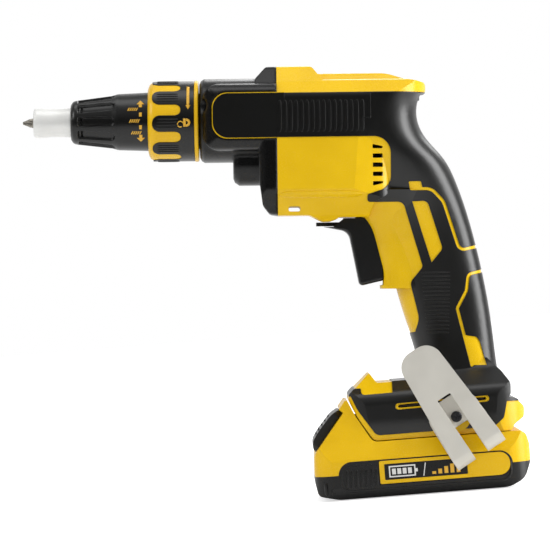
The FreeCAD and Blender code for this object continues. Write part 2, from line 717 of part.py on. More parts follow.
def depth_adjuster():
    step = ADJUSTER_STEP_X
    skin = turned(((ADJUSTER_FRONT, ADJUSTER_NOSE_R - 2.2), (ADJUSTER_FRONT + 1.4, ADJUSTER_NOSE_R - 0.3),
                   (ADJUSTER_FRONT + 3.0, ADJUSTER_NOSE_R), (step - 1.6, ADJUSTER_MID_R),
                   (step + 1.2, ADJUSTER_MID_R + 0.9), (ADJUSTER_REAR - 3.0, ADJUSTER_REAR_R - 0.2),
                   (ADJUSTER_REAR, ADJUSTER_REAR_R)))
    slant = math.atan2(ADJUSTER_MID_R - ADJUSTER_NOSE_R, step - 1.6 - ADJUSTER_FRONT - 3.0)
    start = Vector(ADJUSTER_FRONT + 3.4, 0, ADJUSTER_NOSE_R + FLUTE_R - FLUTE_DEPTH)
    along = Vector(math.cos(slant), 0, math.sin(slant))
    length = (FLUTE_END - ADJUSTER_FRONT - 3.4) / math.cos(slant)
    flute = union([Part.makeCylinder(FLUTE_R, length, start, along), Part.makeSphere(FLUTE_R, start),
                   Part.makeSphere(FLUTE_R, start + along * length)])
    room = NOSE_TUBE_R + SLIP_FIT
    clip = NOSE_TUBE_FRONT + 0.8
    lug_r = LOCATOR_R + LUG_RISE + MOVE_GAP
    lug_front = LOCATOR_FRONT + LOCATOR_LENGTH - 4.0 - LOCATOR_STROKE - 1.0
    lug_rear = LOCATOR_FRONT + LOCATOR_LENGTH + LOCATOR_STROKE + 1.0
    bore = union([rod(LOCATOR_R + SLIP_FIT + 0.05, ADJUSTER_FRONT - 1.0, ADJUSTER_REAR),
                  rod(room, NOSE_TUBE_FRONT - 0.6, ADJUSTER_REAR + 1.0),
                  rod(CLIP_R + SPLIT_GAP, NOSE_TUBE_FRONT - 0.6, clip + CLIP_T + SPLIT_GAP),
                  rod(lug_r, lug_front, lug_rear)])
    return skin.cut(turned_copies(flute, FLUTE_COUNT, 0.0, FLUTE_FIRST)).cut(bore)


def nose_body():
    skin = union([rod(NOSE_TUBE_R, NOSE_TUBE_FRONT, NOSE_FLANGE_X + 1.0),
                  rod(NOSE_COLLAR_R, NOSE_FLANGE_X, NOSE_REAR)])
    clip = NOSE_TUBE_FRONT + 0.8
    bore = union([rod(LOCATOR_R + SLIP_FIT, NOSE_TUBE_FRONT - 1.0, NOSE_REAR + 1.0),
                  rod(SPIGOT_R + SLIP_FIT, SPIGOT_FRONT - SPLIT_GAP, NOSE_REAR + 1.0)])
    slots = []
    for lug in locator_lugs(MOVE_GAP):
        for reach in (-LOCATOR_STROKE, LOCATOR_STROKE):
            moved = lug.copy()
            moved.translate(Vector(reach, 0, 0))
            slots.append(moved)
        slots.append(lug)
    groove = tube(NOSE_TUBE_R + 1.0, CLIP_INNER_R, clip, clip + CLIP_T)
    return skin.cut(bore).cut(union(slots)).cut(groove)


def adjuster_clip():
    clip = NOSE_TUBE_FRONT + 0.8
    ring = tube(CLIP_R, CLIP_INNER_R, clip, clip + CLIP_T)
    return ring.cut(box(clip - 1.0, clip + CLIP_T + 1.0, -3.0, 3.0, -FAR, 0))


def ring_pad_region(low, high):
    """Where the lock ring's black overmould lies: rounded pads in front, one band behind the fingers."""
    rear = RING_REAR - RING_FLANGE_T
    half = RING_PAD_HALF
    pad = prism(((RING_PAD_FRONT, -half, 4.0), (rear, -half), (rear, half), (RING_PAD_FRONT, half, 4.0)),
                "xy", 10.0, 40.0)
    half = RING_FINGER_HALF
    tip = prism(((RING_FRONT, -half), (RING_FINGER_END, -half, 2.7),
                 (RING_FINGER_END, half, 2.7), (RING_FRONT, half)),
                "xy", 10.0, 40.0)
    pads = turned_copies(pad, RING_PADS, 0.0, RING_FIRST_PAD)
    tips = turned_copies(tip, RING_PADS, 0.0, RING_FIRST_PAD + 180.0 / RING_PADS)
    shell = tube(high, low, RING_FRONT, rear)
    band = tube(high, low, RING_FINGER_END - 2.7, rear).cut(tips)
    return band.fuse([shell.common(p) for p in pads])


def lock_ring():
    skin = turned(((RING_FRONT, RING_R - 4.0), (RING_FRONT + 0.4, RING_R - 2.6),
                   (RING_FRONT + 1.2, RING_R - 1.2),
                   (RING_FRONT + 2.6, RING_R - 0.3), (RING_FRONT + 4.0, RING_R),
                   (RING_REAR - RING_FLANGE_T, RING_R), (RING_REAR - RING_FLANGE_T + 0.3, RING_FLANGE_R),
                   (RING_REAR - 0.4, RING_FLANGE_R), (RING_REAR, RING_FLANGE_R - 0.4)))
    bore = union([rod(ADJUSTER_REAR_R + MOVE_GAP, RING_FRONT - 1.0, ADJUSTER_REAR + 0.9),
                  rod(RING_BORE_R, RING_FRONT, SEAT_FRONT - SPLIT_GAP),
                  rod(SEAT_R + RUN_FIT, SEAT_FRONT - SPLIT_GAP - 0.1, RING_REAR + 1.0),
                  rod(RETAINER_R + SPLIT_GAP, RETAINER_X - SPLIT_GAP, RETAINER_X + RETAINER_T + SPLIT_GAP)])
    return skin.cut(bore).cut(ring_pad_region(RING_R - PAD_DEPTH, RING_R + 2.0))


def lock_ring_grip():
    return ring_pad_region(RING_R - PAD_DEPTH, RING_R + PAD_PROUD)


def ring_retainer():
    ring = tube(RETAINER_R, RETAINER_IN_R, RETAINER_X, RETAINER_X + RETAINER_T)
    return ring.cut(box(RETAINER_X - 1.0, RETAINER_X + RETAINER_T + 1.0, -4.0, 4.0, -FAR, 0))


# Gear case and drive

PLATE_OUTLINE = mirrored_outline((
    (14.0, 17.0, 4.0), (23.0, 10.0, 5.0), (25.0, -36.0, 6.0), (14.0, -45.5, 5.0)))


def case_skin():
    drum = turned(((0.0, CASE_R - 2.7), (0.8, CASE_R - 1.0), (2.4, CASE_R), (CASE_REAR, CASE_R)))
    flare_side = [(FLARE_FRONT, FLARE_TOP, 9.0), (CASE_REAR, FLARE_TOP), (CASE_REAR, FLARE_BOTTOM),
                  (FLARE_FRONT, FLARE_BOTTOM, 9.0)]
    flare_plan = [(FLARE_FRONT, -TONGUE_HALF, FLARE_NOSE), (60.0, -TONGUE_HALF), (60.0, TONGUE_HALF),
                  (FLARE_FRONT, TONGUE_HALF, FLARE_NOSE)]
    flare_section = mirrored_outline((
        (TONGUE_HALF, FLARE_TOP, FLARE_CORNER), (TONGUE_HALF, FLARE_BOTTOM, FLARE_CORNER)))
    flare = three_views(flare_side, flare_plan, flare_section, 0.0)
    chin_side = [(31.0, 8.0), (CASE_REAR, 8.0), (CASE_REAR, BODY_BOTTOM),
                 (36.6, -50.2, 3.0), (33.0, -45.4, 4.0),
                 (31.4, -33.0, 8.0)]
    chin_plan = [(30.8, -BODY_HALF - 1, 8.0), (60.0, -BODY_HALF - 1), (60.0, BODY_HALF + 1),
                 (30.8, BODY_HALF + 1, 8.0)]
    chin = three_views(chin_side, chin_plan, BODY_SECTION, 0.0)
    bump_side = [(29.5, CASE_R - 1.0, 3.0), (35.4, BUMP_TOP - 0.2, 3.0), (CASE_REAR, BUMP_TOP),
                 (CASE_REAR, 10.0), (29.5, 10.0)]
    bump_section = mirrored_outline(((11.0, BUMP_TOP, 5.0), (20.5, 19.0), (20.5, 10.0)))
    bump_plan = [(28.0, -24.0, 9.0), (60.0, -24.0), (60.0, 24.0), (28.0, 24.0, 9.0)]
    bump = three_views(bump_side, bump_plan, bump_section, 0.0)
    nose = turned(((PINION_NOSE_FRONT, PINION_NOSE_R - 3.6), (PINION_NOSE_FRONT + 0.8, PINION_NOSE_R - 1.6),
                   (PINION_NOSE_FRONT + 3.2, PINION_NOSE_R), (CASE_REAR, PINION_NOSE_R)), MOTOR_Z)
    return union([drum, flare, chin, bump, nose])


def gear_case():
    spigot = union([rod(SPIGOT_R, SPIGOT_FRONT, 3.0), rod(SEAT_R, SEAT_FRONT, 3.0)])
    spigot = spigot.cut(tube(SEAT_R + 1.0, RETAINER_IN_R, RETAINER_X, RETAINER_X + RETAINER_T))
    bearing_end = SPINDLE_BEARING_X + SPINDLE_BEARING_L
    gear_r = GEAR_MODULE * (DRIVE_TEETH / 2.0 + 1.0) + 0.6
    pinion_r = GEAR_MODULE * (PINION_TEETH / 2.0 + 1.2) + 0.6
    cavity = union([rod(SPINDLE_BEARING_R, SPIGOT_FRONT - 1.0, bearing_end),
                    rod(SPINDLE_R + MOVE_GAP, bearing_end - 1.0, CASE_CAVITY_FRONT + 1.0),
                    rod(SPINDLE_FLANGE_R + 1.4, CASE_CAVITY_FRONT, PLATE_FRONT),
                    rod(gear_r, GEAR_FRONT - 1.6, PLATE_FRONT + 0.1),
                    rod(pinion_r, SHAFT_FRONT - 0.6, PLATE_FRONT + 0.1, MOTOR_Z),
                    prism(PLATE_OUTLINE, "yz", PLATE_FRONT, CASE_REAR + 1.0, -SLIP_FIT)])
    cuts = [cavity]
    for side in (-1.0, 1.0):
        low, high = sorted((side * FAR, side * (TONGUE_HALF - TONGUE_T - SLIP_FIT)))
        cuts.append(prism(band_outline(BAND_RIM + SLIP_FIT), "xz", low, high))
        for y, z, seat in CASE_SCREWS:
            cuts.append(rod(CASE_SCREW_R + SLIP_FIT, seat - 1.0, CASE_REAR + 1.0, z, side * y))
            cuts.append(rod(CASE_SCREW_HEAD_R + SLIP_FIT, -1.0, seat, z, side * y))
    return case_skin().fuse(spigot).cut(cuts)


def case_screws():
    screws = []
    for side in (-1.0, 1.0):
        for y, z, seat in CASE_SCREWS:
            head = rod(CASE_SCREW_HEAD_R, seat - 2.6, seat, z, side * y)
            drive = hexagon(3.0, seat - 3.0, seat - 1.2)
            drive.translate(Vector(0, side * y, z))
            screws.append(head.cut(drive).fuse(rod(CASE_SCREW_R, seat - 0.1, CASE_REAR + CASE_SCREW_BITE, z,
                                                   side * y)))
    return Part.makeCompound(screws)


def spindle():
    flange_back = SPINDLE_FLANGE_X + SPINDLE_FLANGE_T
    shaft = turned(((SPINDLE_FRONT, SPINDLE_R - 0.8), (SPINDLE_FRONT + 0.8, SPINDLE_R),
                    (SPINDLE_FLANGE_X, SPINDLE_R), (SPINDLE_FLANGE_X, SPINDLE_FLANGE_R),
                    (flange_back, SPINDLE_FLANGE_R), (flange_back, PILOT_R), (PILOT_REAR, PILOT_R)))
    dog = box(flange_back - 0.2, flange_back + DOG_HEIGHT, -1.7, 1.7, DOG_IN, DOG_OUT)
    shank_end = HOLDER_FRONT + HOLDER_BODY + HOLDER_SHANK
    socket = hexagon(HEX_FLATS + 2 * RUN_FIT, SPINDLE_FRONT - 1.0, shank_end + 0.3)
    return shaft.fuse(turned_copies(dog, DOG_COUNT)).cut(socket)


def drive_gear():
    dog_front = SPINDLE_FLANGE_X + SPINDLE_FLANGE_T + DOG_HEIGHT + CLUTCH_GAP
    wheel = gear(DRIVE_TEETH, GEAR_FRONT, GEAR_FRONT + GEAR_FACE, 0.0, -0.2, 180.0 / DRIVE_TEETH)
    hub = rod(GEAR_JOURNAL_R, GEAR_FRONT + GEAR_FACE - 0.5, CASE_REAR - 0.4)
    dog = box(dog_front, GEAR_FRONT + 0.2, -1.7, 1.7, DOG_IN, DOG_OUT)
    bore = rod(PILOT_R + RUN_FIT, dog_front - 1.0, PILOT_REAR + CLUTCH_TRAVEL + 1.0)
    pocket = rod(CLUTCH_COIL_R + CLUTCH_WIRE_R + 0.5, GEAR_FRONT - 3.0, CLUTCH_SEAT)
    relief = tube(DRIVE_TEETH * GEAR_MODULE / 2.0 - 2.6, DOG_OUT + 0.6, GEAR_FRONT + GEAR_FACE - 2.0,
                  GEAR_FRONT + GEAR_FACE + 1.0)
    dogs = turned_copies(dog, DOG_COUNT, 0.0, 180.0 / DOG_COUNT)
    return wheel.fuse([hub] + dogs).cut([bore, pocket, relief])


def bearing_plate():
    plate = prism(PLATE_OUTLINE, "yz", PLATE_FRONT, CASE_REAR)
    cuts = [rod(GEAR_BEARING_R, PLATE_FRONT - 1.0, CASE_REAR + 1.0),
            rod(FRONT_BEARING_R, PLATE_FRONT - 1.0, CASE_REAR + 1.0, MOTOR_Z)]
    for side in (-1.0, 1.0):
        for y, z, seat in CASE_SCREWS:
            cuts.append(rod(CASE_SCREW_HEAD_R + SLIP_FIT, PLATE_FRONT - 1.0, CASE_REAR + 1.0, z, side * y))
    return plate.cut(cuts)


# Motor

def motor_pinion():
    return gear(PINION_TEETH, SHAFT_FRONT + 0.4, GEAR_FRONT + GEAR_FACE + 1.0, MOTOR_Z, 0.2, 0.0).cut(
        rod(SHAFT_R, SHAFT_FRONT, CASE_REAR, MOTOR_Z))


def rotor_core():
    core = tube(ROTOR_R, SHAFT_R, STATOR_FRONT - 0.5, STATOR_FRONT + STATOR_L + 0.5, MOTOR_Z)
    notch = box(STATOR_FRONT - 2.0, STATOR_FRONT + STATOR_L + 2.0, -0.6, 0.6, MOTOR_Z + ROTOR_R - 1.0,
                MOTOR_Z + ROTOR_R + 1.0)
    return core.cut(turned_copies(notch, 4, MOTOR_Z, 45.0))


def stator_core():
    rear = STATOR_FRONT + STATOR_L
    inner = ROTOR_R + AIR_GAP
    yoke = tube(STATOR_R, STATOR_R - 4.0, STATOR_FRONT, rear, MOTOR_Z)
    tooth = box(STATOR_FRONT, rear, -TOOTH_HALF, TOOTH_HALF, MOTOR_Z + inner + 1.0, MOTOR_Z + STATOR_R - 2.0)
    shoe = tube(inner + 1.6, inner, STATOR_FRONT, rear, MOTOR_Z).common(
        box(STATOR_FRONT, rear, -5.2, 5.2, MOTOR_Z, MOTOR_Z + FAR))
    return yoke.fuse(turned_copies(tooth.fuse(shoe), 6, MOTOR_Z))


def stator_windings():
    rear = STATOR_FRONT + STATOR_L
    low = MOTOR_Z + ROTOR_R + AIR_GAP + 2.0
    high = MOTOR_Z + STATOR_R - 4.9
    block = box(STATOR_FRONT - COIL_OVERHANG, rear + COIL_OVERHANG,
                -TOOTH_HALF - 2.0, TOOTH_HALF + 2.0, low, high)
    block = block.makeFillet(1.4, [e for e in block.Edges if abs(e.tangentAt(e.FirstParameter).z) > 0.9])
    hole = box(STATOR_FRONT - 0.1, rear + 0.1, -TOOTH_HALF - 0.1, TOOTH_HALF + 0.1, low - 1.0, high + 1.0)
    return Part.makeCompound(turned_copies(block.cut(hole), 6, MOTOR_Z))


def sensor_board():
    front = STATOR_FRONT + STATOR_L + COIL_OVERHANG + SPLIT_GAP
    return tube(STATOR_R - 0.6, 9.0, front, front + BOARD_T, MOTOR_Z)


def cooling_fan():
    disc = tube(FAN_R, SHAFT_R, FAN_FRONT, FAN_FRONT + 1.6, MOTOR_Z)
    hub = tube(5.0, SHAFT_R, FAN_FRONT, FAN_FRONT + FAN_DEPTH, MOTOR_Z)
    blade = box(FAN_FRONT + 1.0, FAN_FRONT + FAN_DEPTH, -0.6, 0.6, MOTOR_Z + 9.0, MOTOR_Z + FAN_R - 0.3)
    blade.rotate(Vector(0, 0, MOTOR_Z + FAN_R), Vector(1, 0, 0), 22.0)
    blade = blade.common(rod(FAN_R - 0.1, FAN_FRONT, FAN_FRONT + FAN_DEPTH, MOTOR_Z))
    return disc.fuse([hub] + turned_copies(blade, FAN_BLADES, MOTOR_Z))


# Handle pieces

def trigger():
    outline = [(65.4, TRIGGER_TOP), (78.4, TRIGGER_TOP - 2.6, 6.0), (81.2, -74.0, 25.0),
               (84.0, -88.9, 2.0), (TRIGGER_BACK, -85.9, 0.5), (TRIGGER_BACK, TRIGGER_TOP)]
    block = prism(outline, "xz", -TRIGGER_HALF, TRIGGER_HALF)
    front = [edge for edge in block.Edges
             if edge.BoundBox.YLength < 0.01 and edge.CenterOfMass.z < TRIGGER_TOP - 0.3
             and edge.CenterOfMass.x < 84.0]
    block = block.makeFillet(TRIGGER_ROUND, front)
    cheek = [(73.0, TRIGGER_TOP - 1.0), (TRIGGER_BACK, TRIGGER_TOP - 3.0),
             (TRIGGER_BACK, TRIGGER_CHEEK_TOP, 2.0), (76.0, TRIGGER_CHEEK_TOP, 4.0),
             (70.0, TRIGGER_TOP - 0.2)]
    cheeks = prism(cheek, "xz", -TRIGGER_HALF, TRIGGER_HALF).cut(
        box(50.0, 120.0, -TRIGGER_CHEEK_IN, TRIGGER_CHEEK_IN, TRIGGER_TOP, 0.0))
    stem = rod(STEM_R, TRIGGER_BACK - 1.0, TRIGGER_BACK + STEM_LENGTH, STEM_Z)
    return block.fuse([cheeks, stem])


def trigger_pocket():
    """Room for the trigger at rest and pulled, open to the front."""
    reach = TRIGGER_BACK + TRIGGER_TRAVEL + 1.2
    top = TRIGGER_CHEEK_TOP + MOVE_GAP
    outline = [(55.0, -89.3), (92.0, -89.3), (reach, -86.3), (reach, top), (55.0, top)]
    return prism(outline, "xz", -TRIGGER_HALF - MOVE_GAP, TRIGGER_HALF + MOVE_GAP)


def trigger_window():
    """Gap in the housing's sides, seen from the side, that frames the trigger."""
    outline = [(60.0, -88.2), (60.0, -55.0), (66.5, -55.0), (72.0, -53.2), (84.7, -52.3, 2.0),
               (89.9, -56.9, 4.0), (92.5, -64.4, 20.0), (95.0, -75.1, 20.0), (96.0, -83.1, 8.0),
               (94.9, -88.2)]
    return prism(outline, "xz", -FAR, FAR)


def switch_module():
    block = box(SWITCH_FRONT, SWITCH_FRONT + SWITCH_LENGTH, -SWITCH_HALF, SWITCH_HALF,
                SWITCH_BOTTOM, SWITCH_TOP)
    stem_end = TRIGGER_BACK + STEM_LENGTH + TRIGGER_TRAVEL
    hole = rod(STEM_R + SLIP_FIT, SWITCH_FRONT - 1.0, stem_end + 1.0, STEM_Z)
    return block.cut(hole)


def direction_lever():
    low = TRIGGER_TOP + MOVE_GAP
    blade = prism([(LEVER_TIP_X, -4.2, 3.2), (LEVER_PIVOT_X, -5.2),
                   (LEVER_PIVOT_X, 5.2), (LEVER_TIP_X, 4.2, 3.2)],
                  "xy", low, LEVER_BLADE_TOP)
    heel = prism([(75.6, -4.6, 2.0), (LEVER_PIVOT_X, -5.2), (LEVER_PIVOT_X, 5.2), (75.6, 4.6, 2.0)],
                 "xy", low, LEVER_HUB_TOP)
    hub = Part.makeCylinder(5.2, LEVER_HUB_TOP - low, Vector(LEVER_PIVOT_X, 0, low))
    pin = Part.makeCylinder(LEVER_PIN_R, 4.6, Vector(LEVER_PIVOT_X, 0, LEVER_HUB_TOP - 0.2))
    return union([blade, heel, hub, pin])


def lever_room():
    """Room for the lever's hub and pin in the housing."""
    low = TRIGGER_TOP - 0.2
    hub = Part.makeCylinder(5.2 + MOVE_GAP, LEVER_HUB_TOP + SPLIT_GAP - low, Vector(LEVER_PIVOT_X, 0, low))
    pin = Part.makeCylinder(LEVER_PIN_R + RUN_FIT, 6.0, Vector(LEVER_PIVOT_X, 0, LEVER_HUB_TOP - 0.4))
    return hub.fuse(pin)


def module_block(grow):
    """Control module, leaning with the handle."""
    sx, sy, sz = MODULE_SIZE
    block = box(-sx / 2 - grow, sx / 2 + grow, -sy / 2 - grow, sy / 2 + grow, -sz / 2 - grow, sz / 2 + grow)
    block.Placement = Placement(Vector(MODULE_X, 0, MODULE_Z), Rotation(Vector(0, 1, 0), -MODULE_LEAN))
    return block


def module_ribs():
    """Two shelves across the handle that hold the control module."""
    ribs = []
    for level in (-10.0, 10.0):
        rib = box(-60.0, 60.0, -60.0, 60.0, level - 1.0, level + 1.0)
        rib.Placement = Placement(Vector(MODULE_X, 0, MODULE_Z), Rotation(Vector(0, 1, 0), -MODULE_LEAN))
        ribs.append(rib.cut(module_block(SPLIT_GAP)))
    return ribs


def motor_leads():
    board = STATOR_FRONT + STATOR_L + COIL_OVERHANG + SPLIT_GAP + BOARD_T / 2.0
    top = MOTOR_Z + STATOR_R - 0.6 + 0.1
    path = [(LEAD_X, -90.4), (LEAD_X, -50.0, 10.0), (106.5, 1.8, 6.0), (board, 1.8, 2.0), (board, top)]
    leads = []
    for y in (-4.0, 0.0, 4.0):
        wire = lead(path, 1.1)
        wire.translate(Vector(0, y, 0))
        leads.append(wire)
    return Part.makeCompound(leads)


def battery_leads():
    path = [(LEAD_X, -123.6), (LEAD_X, -134.0, 5.0), (123.4, -140.0, 5.0), (123.4, -146.9)]
    leads = []
    for y in (-5.0, 5.0):
        wire = lead(path, 1.3)
        wire.translate(Vector(0, y, 0))
        leads.append(wire)
    return Part.makeCompound(leads)


# Foot

TERMINAL = (-2.0, 25.0, 15.4, 37.4, RAIL_TOP + SLIDE_GAP + 2.4)


def terminal_block():
    x0, x1, half, low, roof = TERMINAL
    return union([box(x0, x1, -half, half, low, roof + 0.1),
                  box(x0 - 2, x1 + 2, -half - 2, half + 2, roof, roof + 5)])


def blade_places():
    first = -CONTACT_PITCH * (CONTACT_COUNT - 1) / 2.0
    return [first + CONTACT_PITCH * i for i in range(CONTACT_COUNT)]


def terminal_blades():
    x0 = TERMINAL[0]
    blades = [box(x0 - 15.0, x0, y - BLADE_T / 2, y + BLADE_T / 2, 38.2, 41.6) for y in blade_places()]
    return Part.makeCompound(blades)


def foot_core():
    """Solid round the battery channel: rails, guide walls and roof."""
    return box(-24.0, 46.0, -FOOT_HALF, 0, FOOT_BOTTOM, TERMINAL[4])


def foot_channel():
    """T slot for the battery's rails, open to the front, with the hole for the terminal block."""
    x0, x1, half, low, roof = TERMINAL
    gap = SLIDE_GAP
    return [box(-60.0, RAIL_REAR + 0.5, -RAIL_HALF - gap, RAIL_HALF + gap, RAIL_LOW - gap, RAIL_TOP + gap),
            box(-60.0, RAIL_REAR + 0.5, -RAIL_NECK - gap, RAIL_NECK + gap, FOOT_BOTTOM - 1, RAIL_LOW),
            box(x0, x1, -half, half, RAIL_TOP - 1.0, roof + 1.0),
            box(x0 - 2, x1 + 2, -half - 2, half + 2, roof, roof + 5.0)]


# Housing halves

def inner_frame():
    """Ribs and bosses inside the left half, in the base frame, before the skin trims them."""
    frame = []
    motor_hole = rod(STATOR_R + SLIP_FIT, STATOR_FRONT - 9.0, FAN_FRONT - 1.0, MOTOR_Z)
    for x in (STATOR_FRONT + 5.0, STATOR_FRONT + STATOR_L - 8.0):
        frame.append(barrel(box(x, x + 3.0, -60.0, 0, -60.0, 6.0).cut(motor_hole)))
    rear = box(REAR_BEARING_X, REAR_BEARING_X + REAR_BEARING_L + 1.4, -60.0, 0, -49.0, -3.0)
    rear = rear.cut(rod(REAR_BEARING_R, REAR_BEARING_X - 1.0, REAR_BEARING_X + REAR_BEARING_L, MOTOR_Z))
    frame.append(barrel(rear.cut(rod(SHAFT_R + 1.0, REAR_BEARING_X, FAR, MOTOR_Z))))
    x0, x1, z0, z1 = CHIN_SLOT
    frame.append(barrel(box(x0 - 2.0, x1 + 2.0, -40.0, 0, BODY_BOTTOM - 1, z1 + 1.4).cut(motor_hole)))
    for y, z, seat in CASE_SCREWS:
        boss = rod(SCREW_BOSS_R, CASE_REAR, CASE_REAR + CASE_SCREW_BITE + 2.0, z, -y)
        frame.append(barrel(boss))
    for x, z in UPPER_SCREWS:
        frame.append(barrel(rod_y(SCREW_BOSS_R, -60.0, 0, x, z)))
    for x, z in FOOT_SCREWS:
        frame.append(rod_y(SCREW_BOSS_R, -60.0, 0, x, z))
    back = SWITCH_FRONT + SWITCH_LENGTH + 2.0
    frame.append(barrel(box(SWITCH_FRONT - 2.0, back, -60.0, 0,
                            SWITCH_BOTTOM - 2.3, SWITCH_BOTTOM - SLIP_FIT)))
    frame.append(barrel(box(SWITCH_FRONT - 2.0, back, -60.0, 0, SWITCH_TOP + SLIP_FIT, SWITCH_TOP + 2.3)))
    frame += [barrel(r) for r in module_ribs()]
    frame.append(foot_core())
    return frame


def shared_cuts():
    """Openings that both halves have, in the base frame."""
    cuts = [barrel(trigger_pocket()), barrel(trigger_window()), barrel(lever_room())] + foot_channel()
    x0, x1, z0, z1 = CHIN_SLOT
    frame_hole = [(x0, z0, 1.1), (x1, z0, 1.1), (x1, z1, 1.1), (x0, z1, 1.1)]
    cuts.append(barrel(prism(frame_hole, "xz", -60.0, 60.0)))
    last = len(VENT_LEVELS) - 1
    x0 = VENT_X - VENT_LENGTH / 2.0
    x1 = VENT_X + VENT_LENGTH / 2.0
    for i, level in enumerate(VENT_LEVELS):
        low = level - VENT_HEIGHT / 2.0
        high = level + VENT_HEIGHT / 2.0
        rise = VENT_TAPER if i == last else 0.0
        drop = VENT_TAPER if i == 0 else 0.0
        slot = [(x0, low, 0.3), (x1, low + rise, 0.3), (x1, high - drop, 0.3), (x0, high, 0.3)]
        cuts.append(barrel(prism(slot, "xz", -60.0, -REAR_BEARING_R - 6.0)))
    for y, z, seat in CASE_SCREWS:
        cuts.append(barrel(rod(CASE_SCREW_R, CASE_REAR - 1.0, CASE_REAR + CASE_SCREW_BITE + 0.5, z, -y)))
    return cuts


def screw_rods(radius, y0, y1):
    """Cylinders at every housing screw, in the base frame."""
    rods = [barrel(rod_y(radius, y0, y1, x, z)) for x, z in UPPER_SCREWS]
    return rods + [rod_y(radius, y0, y1, x, z) for x, z in FOOT_SCREWS]


def housing_screws():
    screws = []
    heads = screw_rods(SCREW_HEAD_R, SCREW_SEAT, SCREW_SEAT + 2.4)
    shanks = screw_rods(SCREW_SHANK_R, -SCREW_BITE, SCREW_SEAT + 0.1)
    sockets = screw_rods(1.5, SCREW_SEAT + 1.0, SCREW_SEAT + 3.0)
    for head, shank, socket in zip(heads, shanks, sockets):
        screws.append(head.fuse(shank).cut(socket))
    return Part.makeCompound(screws)


def hook_place(shape):
    """Move a shape from the hook's own frame (X across, Z along the plate) to the base frame."""
    moved = shape.copy()
    place = Placement(Vector(HOOK_SCREW_X, 0, HOOK_SCREW_Z), Rotation(Vector(0, 1, 0), -HOOK_LEAN))
    moved.Placement = place.multiply(moved.Placement)
    return moved


def belt_hook():
    leaf_out = -HOOK_SEAT
    leaf_in = leaf_out - HOOK_STEEL
    plate_out = leaf_in - HOOK_GAP
    bend_out = (HOOK_GAP + 2 * HOOK_STEEL) / 2.0
    bend_z = HOOK_BOTTOM + bend_out
    bend_y = (leaf_out + plate_out - HOOK_STEEL) / 2.0
    low = HOOK_HALF_LOW
    plate = prism([(-low, bend_z), (-HOOK_HALF_TOP, HOOK_TOP, 9.0),
                   (HOOK_HALF_TOP, HOOK_TOP, 9.0), (low, bend_z)],
                  "xz", plate_out - HOOK_STEEL, plate_out)
    leaf = prism([(-low, bend_z), (-low + 1.0, HOOK_LEAF_TOP, 9.0),
                  (low - 1.0, HOOK_LEAF_TOP, 9.0), (low, bend_z)],
                 "xz", leaf_in, leaf_out)
    bend = Part.makeCylinder(bend_out, 2 * low, Vector(-low, bend_y, bend_z), Vector(1, 0, 0))
    bend = bend.cut(Part.makeCylinder(bend_out - HOOK_STEEL, 4 * low, Vector(-2 * low, bend_y, bend_z),
                                      Vector(1, 0, 0)))
    bend = bend.cut(box(-40.0, 40.0, -80.0, 0, bend_z, bend_z + 40.0))
    half = HOOK_SLOT_HALF
    slot = prism([(-half, HOOK_BOTTOM - 5.0), (half, HOOK_BOTTOM - 5.0), (half, HOOK_SLOT_TOP, 0.6),
                  (-half, HOOK_SLOT_TOP, 0.6)], "xz", -80.0, leaf_in - 0.5)
    notch = prism([(-half, HOOK_BOTTOM - 5.0), (half, HOOK_BOTTOM - 5.0), (half, bend_z + 6.0, half - 0.2),
                   (-half, bend_z + 6.0, half - 0.2)], "xz", -80.0, 0)
    hole = rod_y(HOOK_SCREW_R + SLIP_FIT, -80.0, 0, 0, 0)
    return hook_place(union([plate, leaf, bend]).cut([slot, notch, hole]))


def belt_hook_screw():
    top = -HOOK_SEAT - HOOK_STEEL
    head = rod_y(HOOK_HEAD_R, top - 2.6, top, HOOK_SCREW_X, HOOK_SCREW_Z)
    rim = head.makeFillet(0.9, [e for e in head.Edges if abs(e.BoundBox.YMax - (top - 2.6)) < 1e-3
                                and e.Curve.TypeId == "Part::GeomCircle"])
    cross = union([box(-1.8, 1.8, top - 3.0, top - 1.2, -0.45, 0.45),
                   box(-0.45, 0.45, top - 3.0, top - 1.2, -1.8, 1.8)])
    cross.translate(Vector(HOOK_SCREW_X, 0, HOOK_SCREW_Z))
    shank = rod_y(HOOK_SCREW_R - RUN_FIT, top - 0.1, -HOOK_HOLE_END - 1.0, HOOK_SCREW_X, HOOK_SCREW_Z)
    return rim.cut(cross).fuse(shank)


# Battery pack

PACK_SIDE = [
    (PACK_FRONT, 10.0, 4.0), (PACK_FRONT + 1.4, 2.8, 3.0), (-43.0, 0.0, 18.0), (46.0, 0.0, 14.0),
    (54.6, 4.4, 8.0),
    (PACK_REAR, 13.0, 8.0), (PACK_REAR, 21.5, 6.0), (56.8, 27.4, 4.0), (54.0, PACK_DECK, 1.6),
    (-23.5, PACK_DECK, 4.4), (-31.8, 43.4, 30.0), (-35.3, 51.4, 0.6), (-36.6, 51.8, 0.8),
    (-40.2, 47.25, 0.5),
    BUTTON_HIGH + (0.6,), BUTTON_LOW + (0.8,), (PACK_FRONT + 0.7, 23.0, 1.0)]
PACK_PLAN = [(PACK_FRONT - 0.2, -PACK_HALF - 0.2, 12.0), (PACK_REAR + 0.2, -PACK_HALF - 0.2, 14.0),
             (PACK_REAR + 0.2, PACK_HALF + 0.2, 14.0), (PACK_FRONT - 0.2, PACK_HALF + 0.2, 12.0)]
PACK_SECTION = mirrored_outline((
    (27.0, 56.0), (31.0, 44.0, 10.0), (34.4, 30.0, 12.0), (PACK_HALF, 20.5, 5.0), (PACK_HALF, 4.6, 5.0),
    (34.6, 0.0, 4.0)))


def pack(inset):
    return three_views(PACK_SIDE, PACK_PLAN, PACK_SECTION, inset)


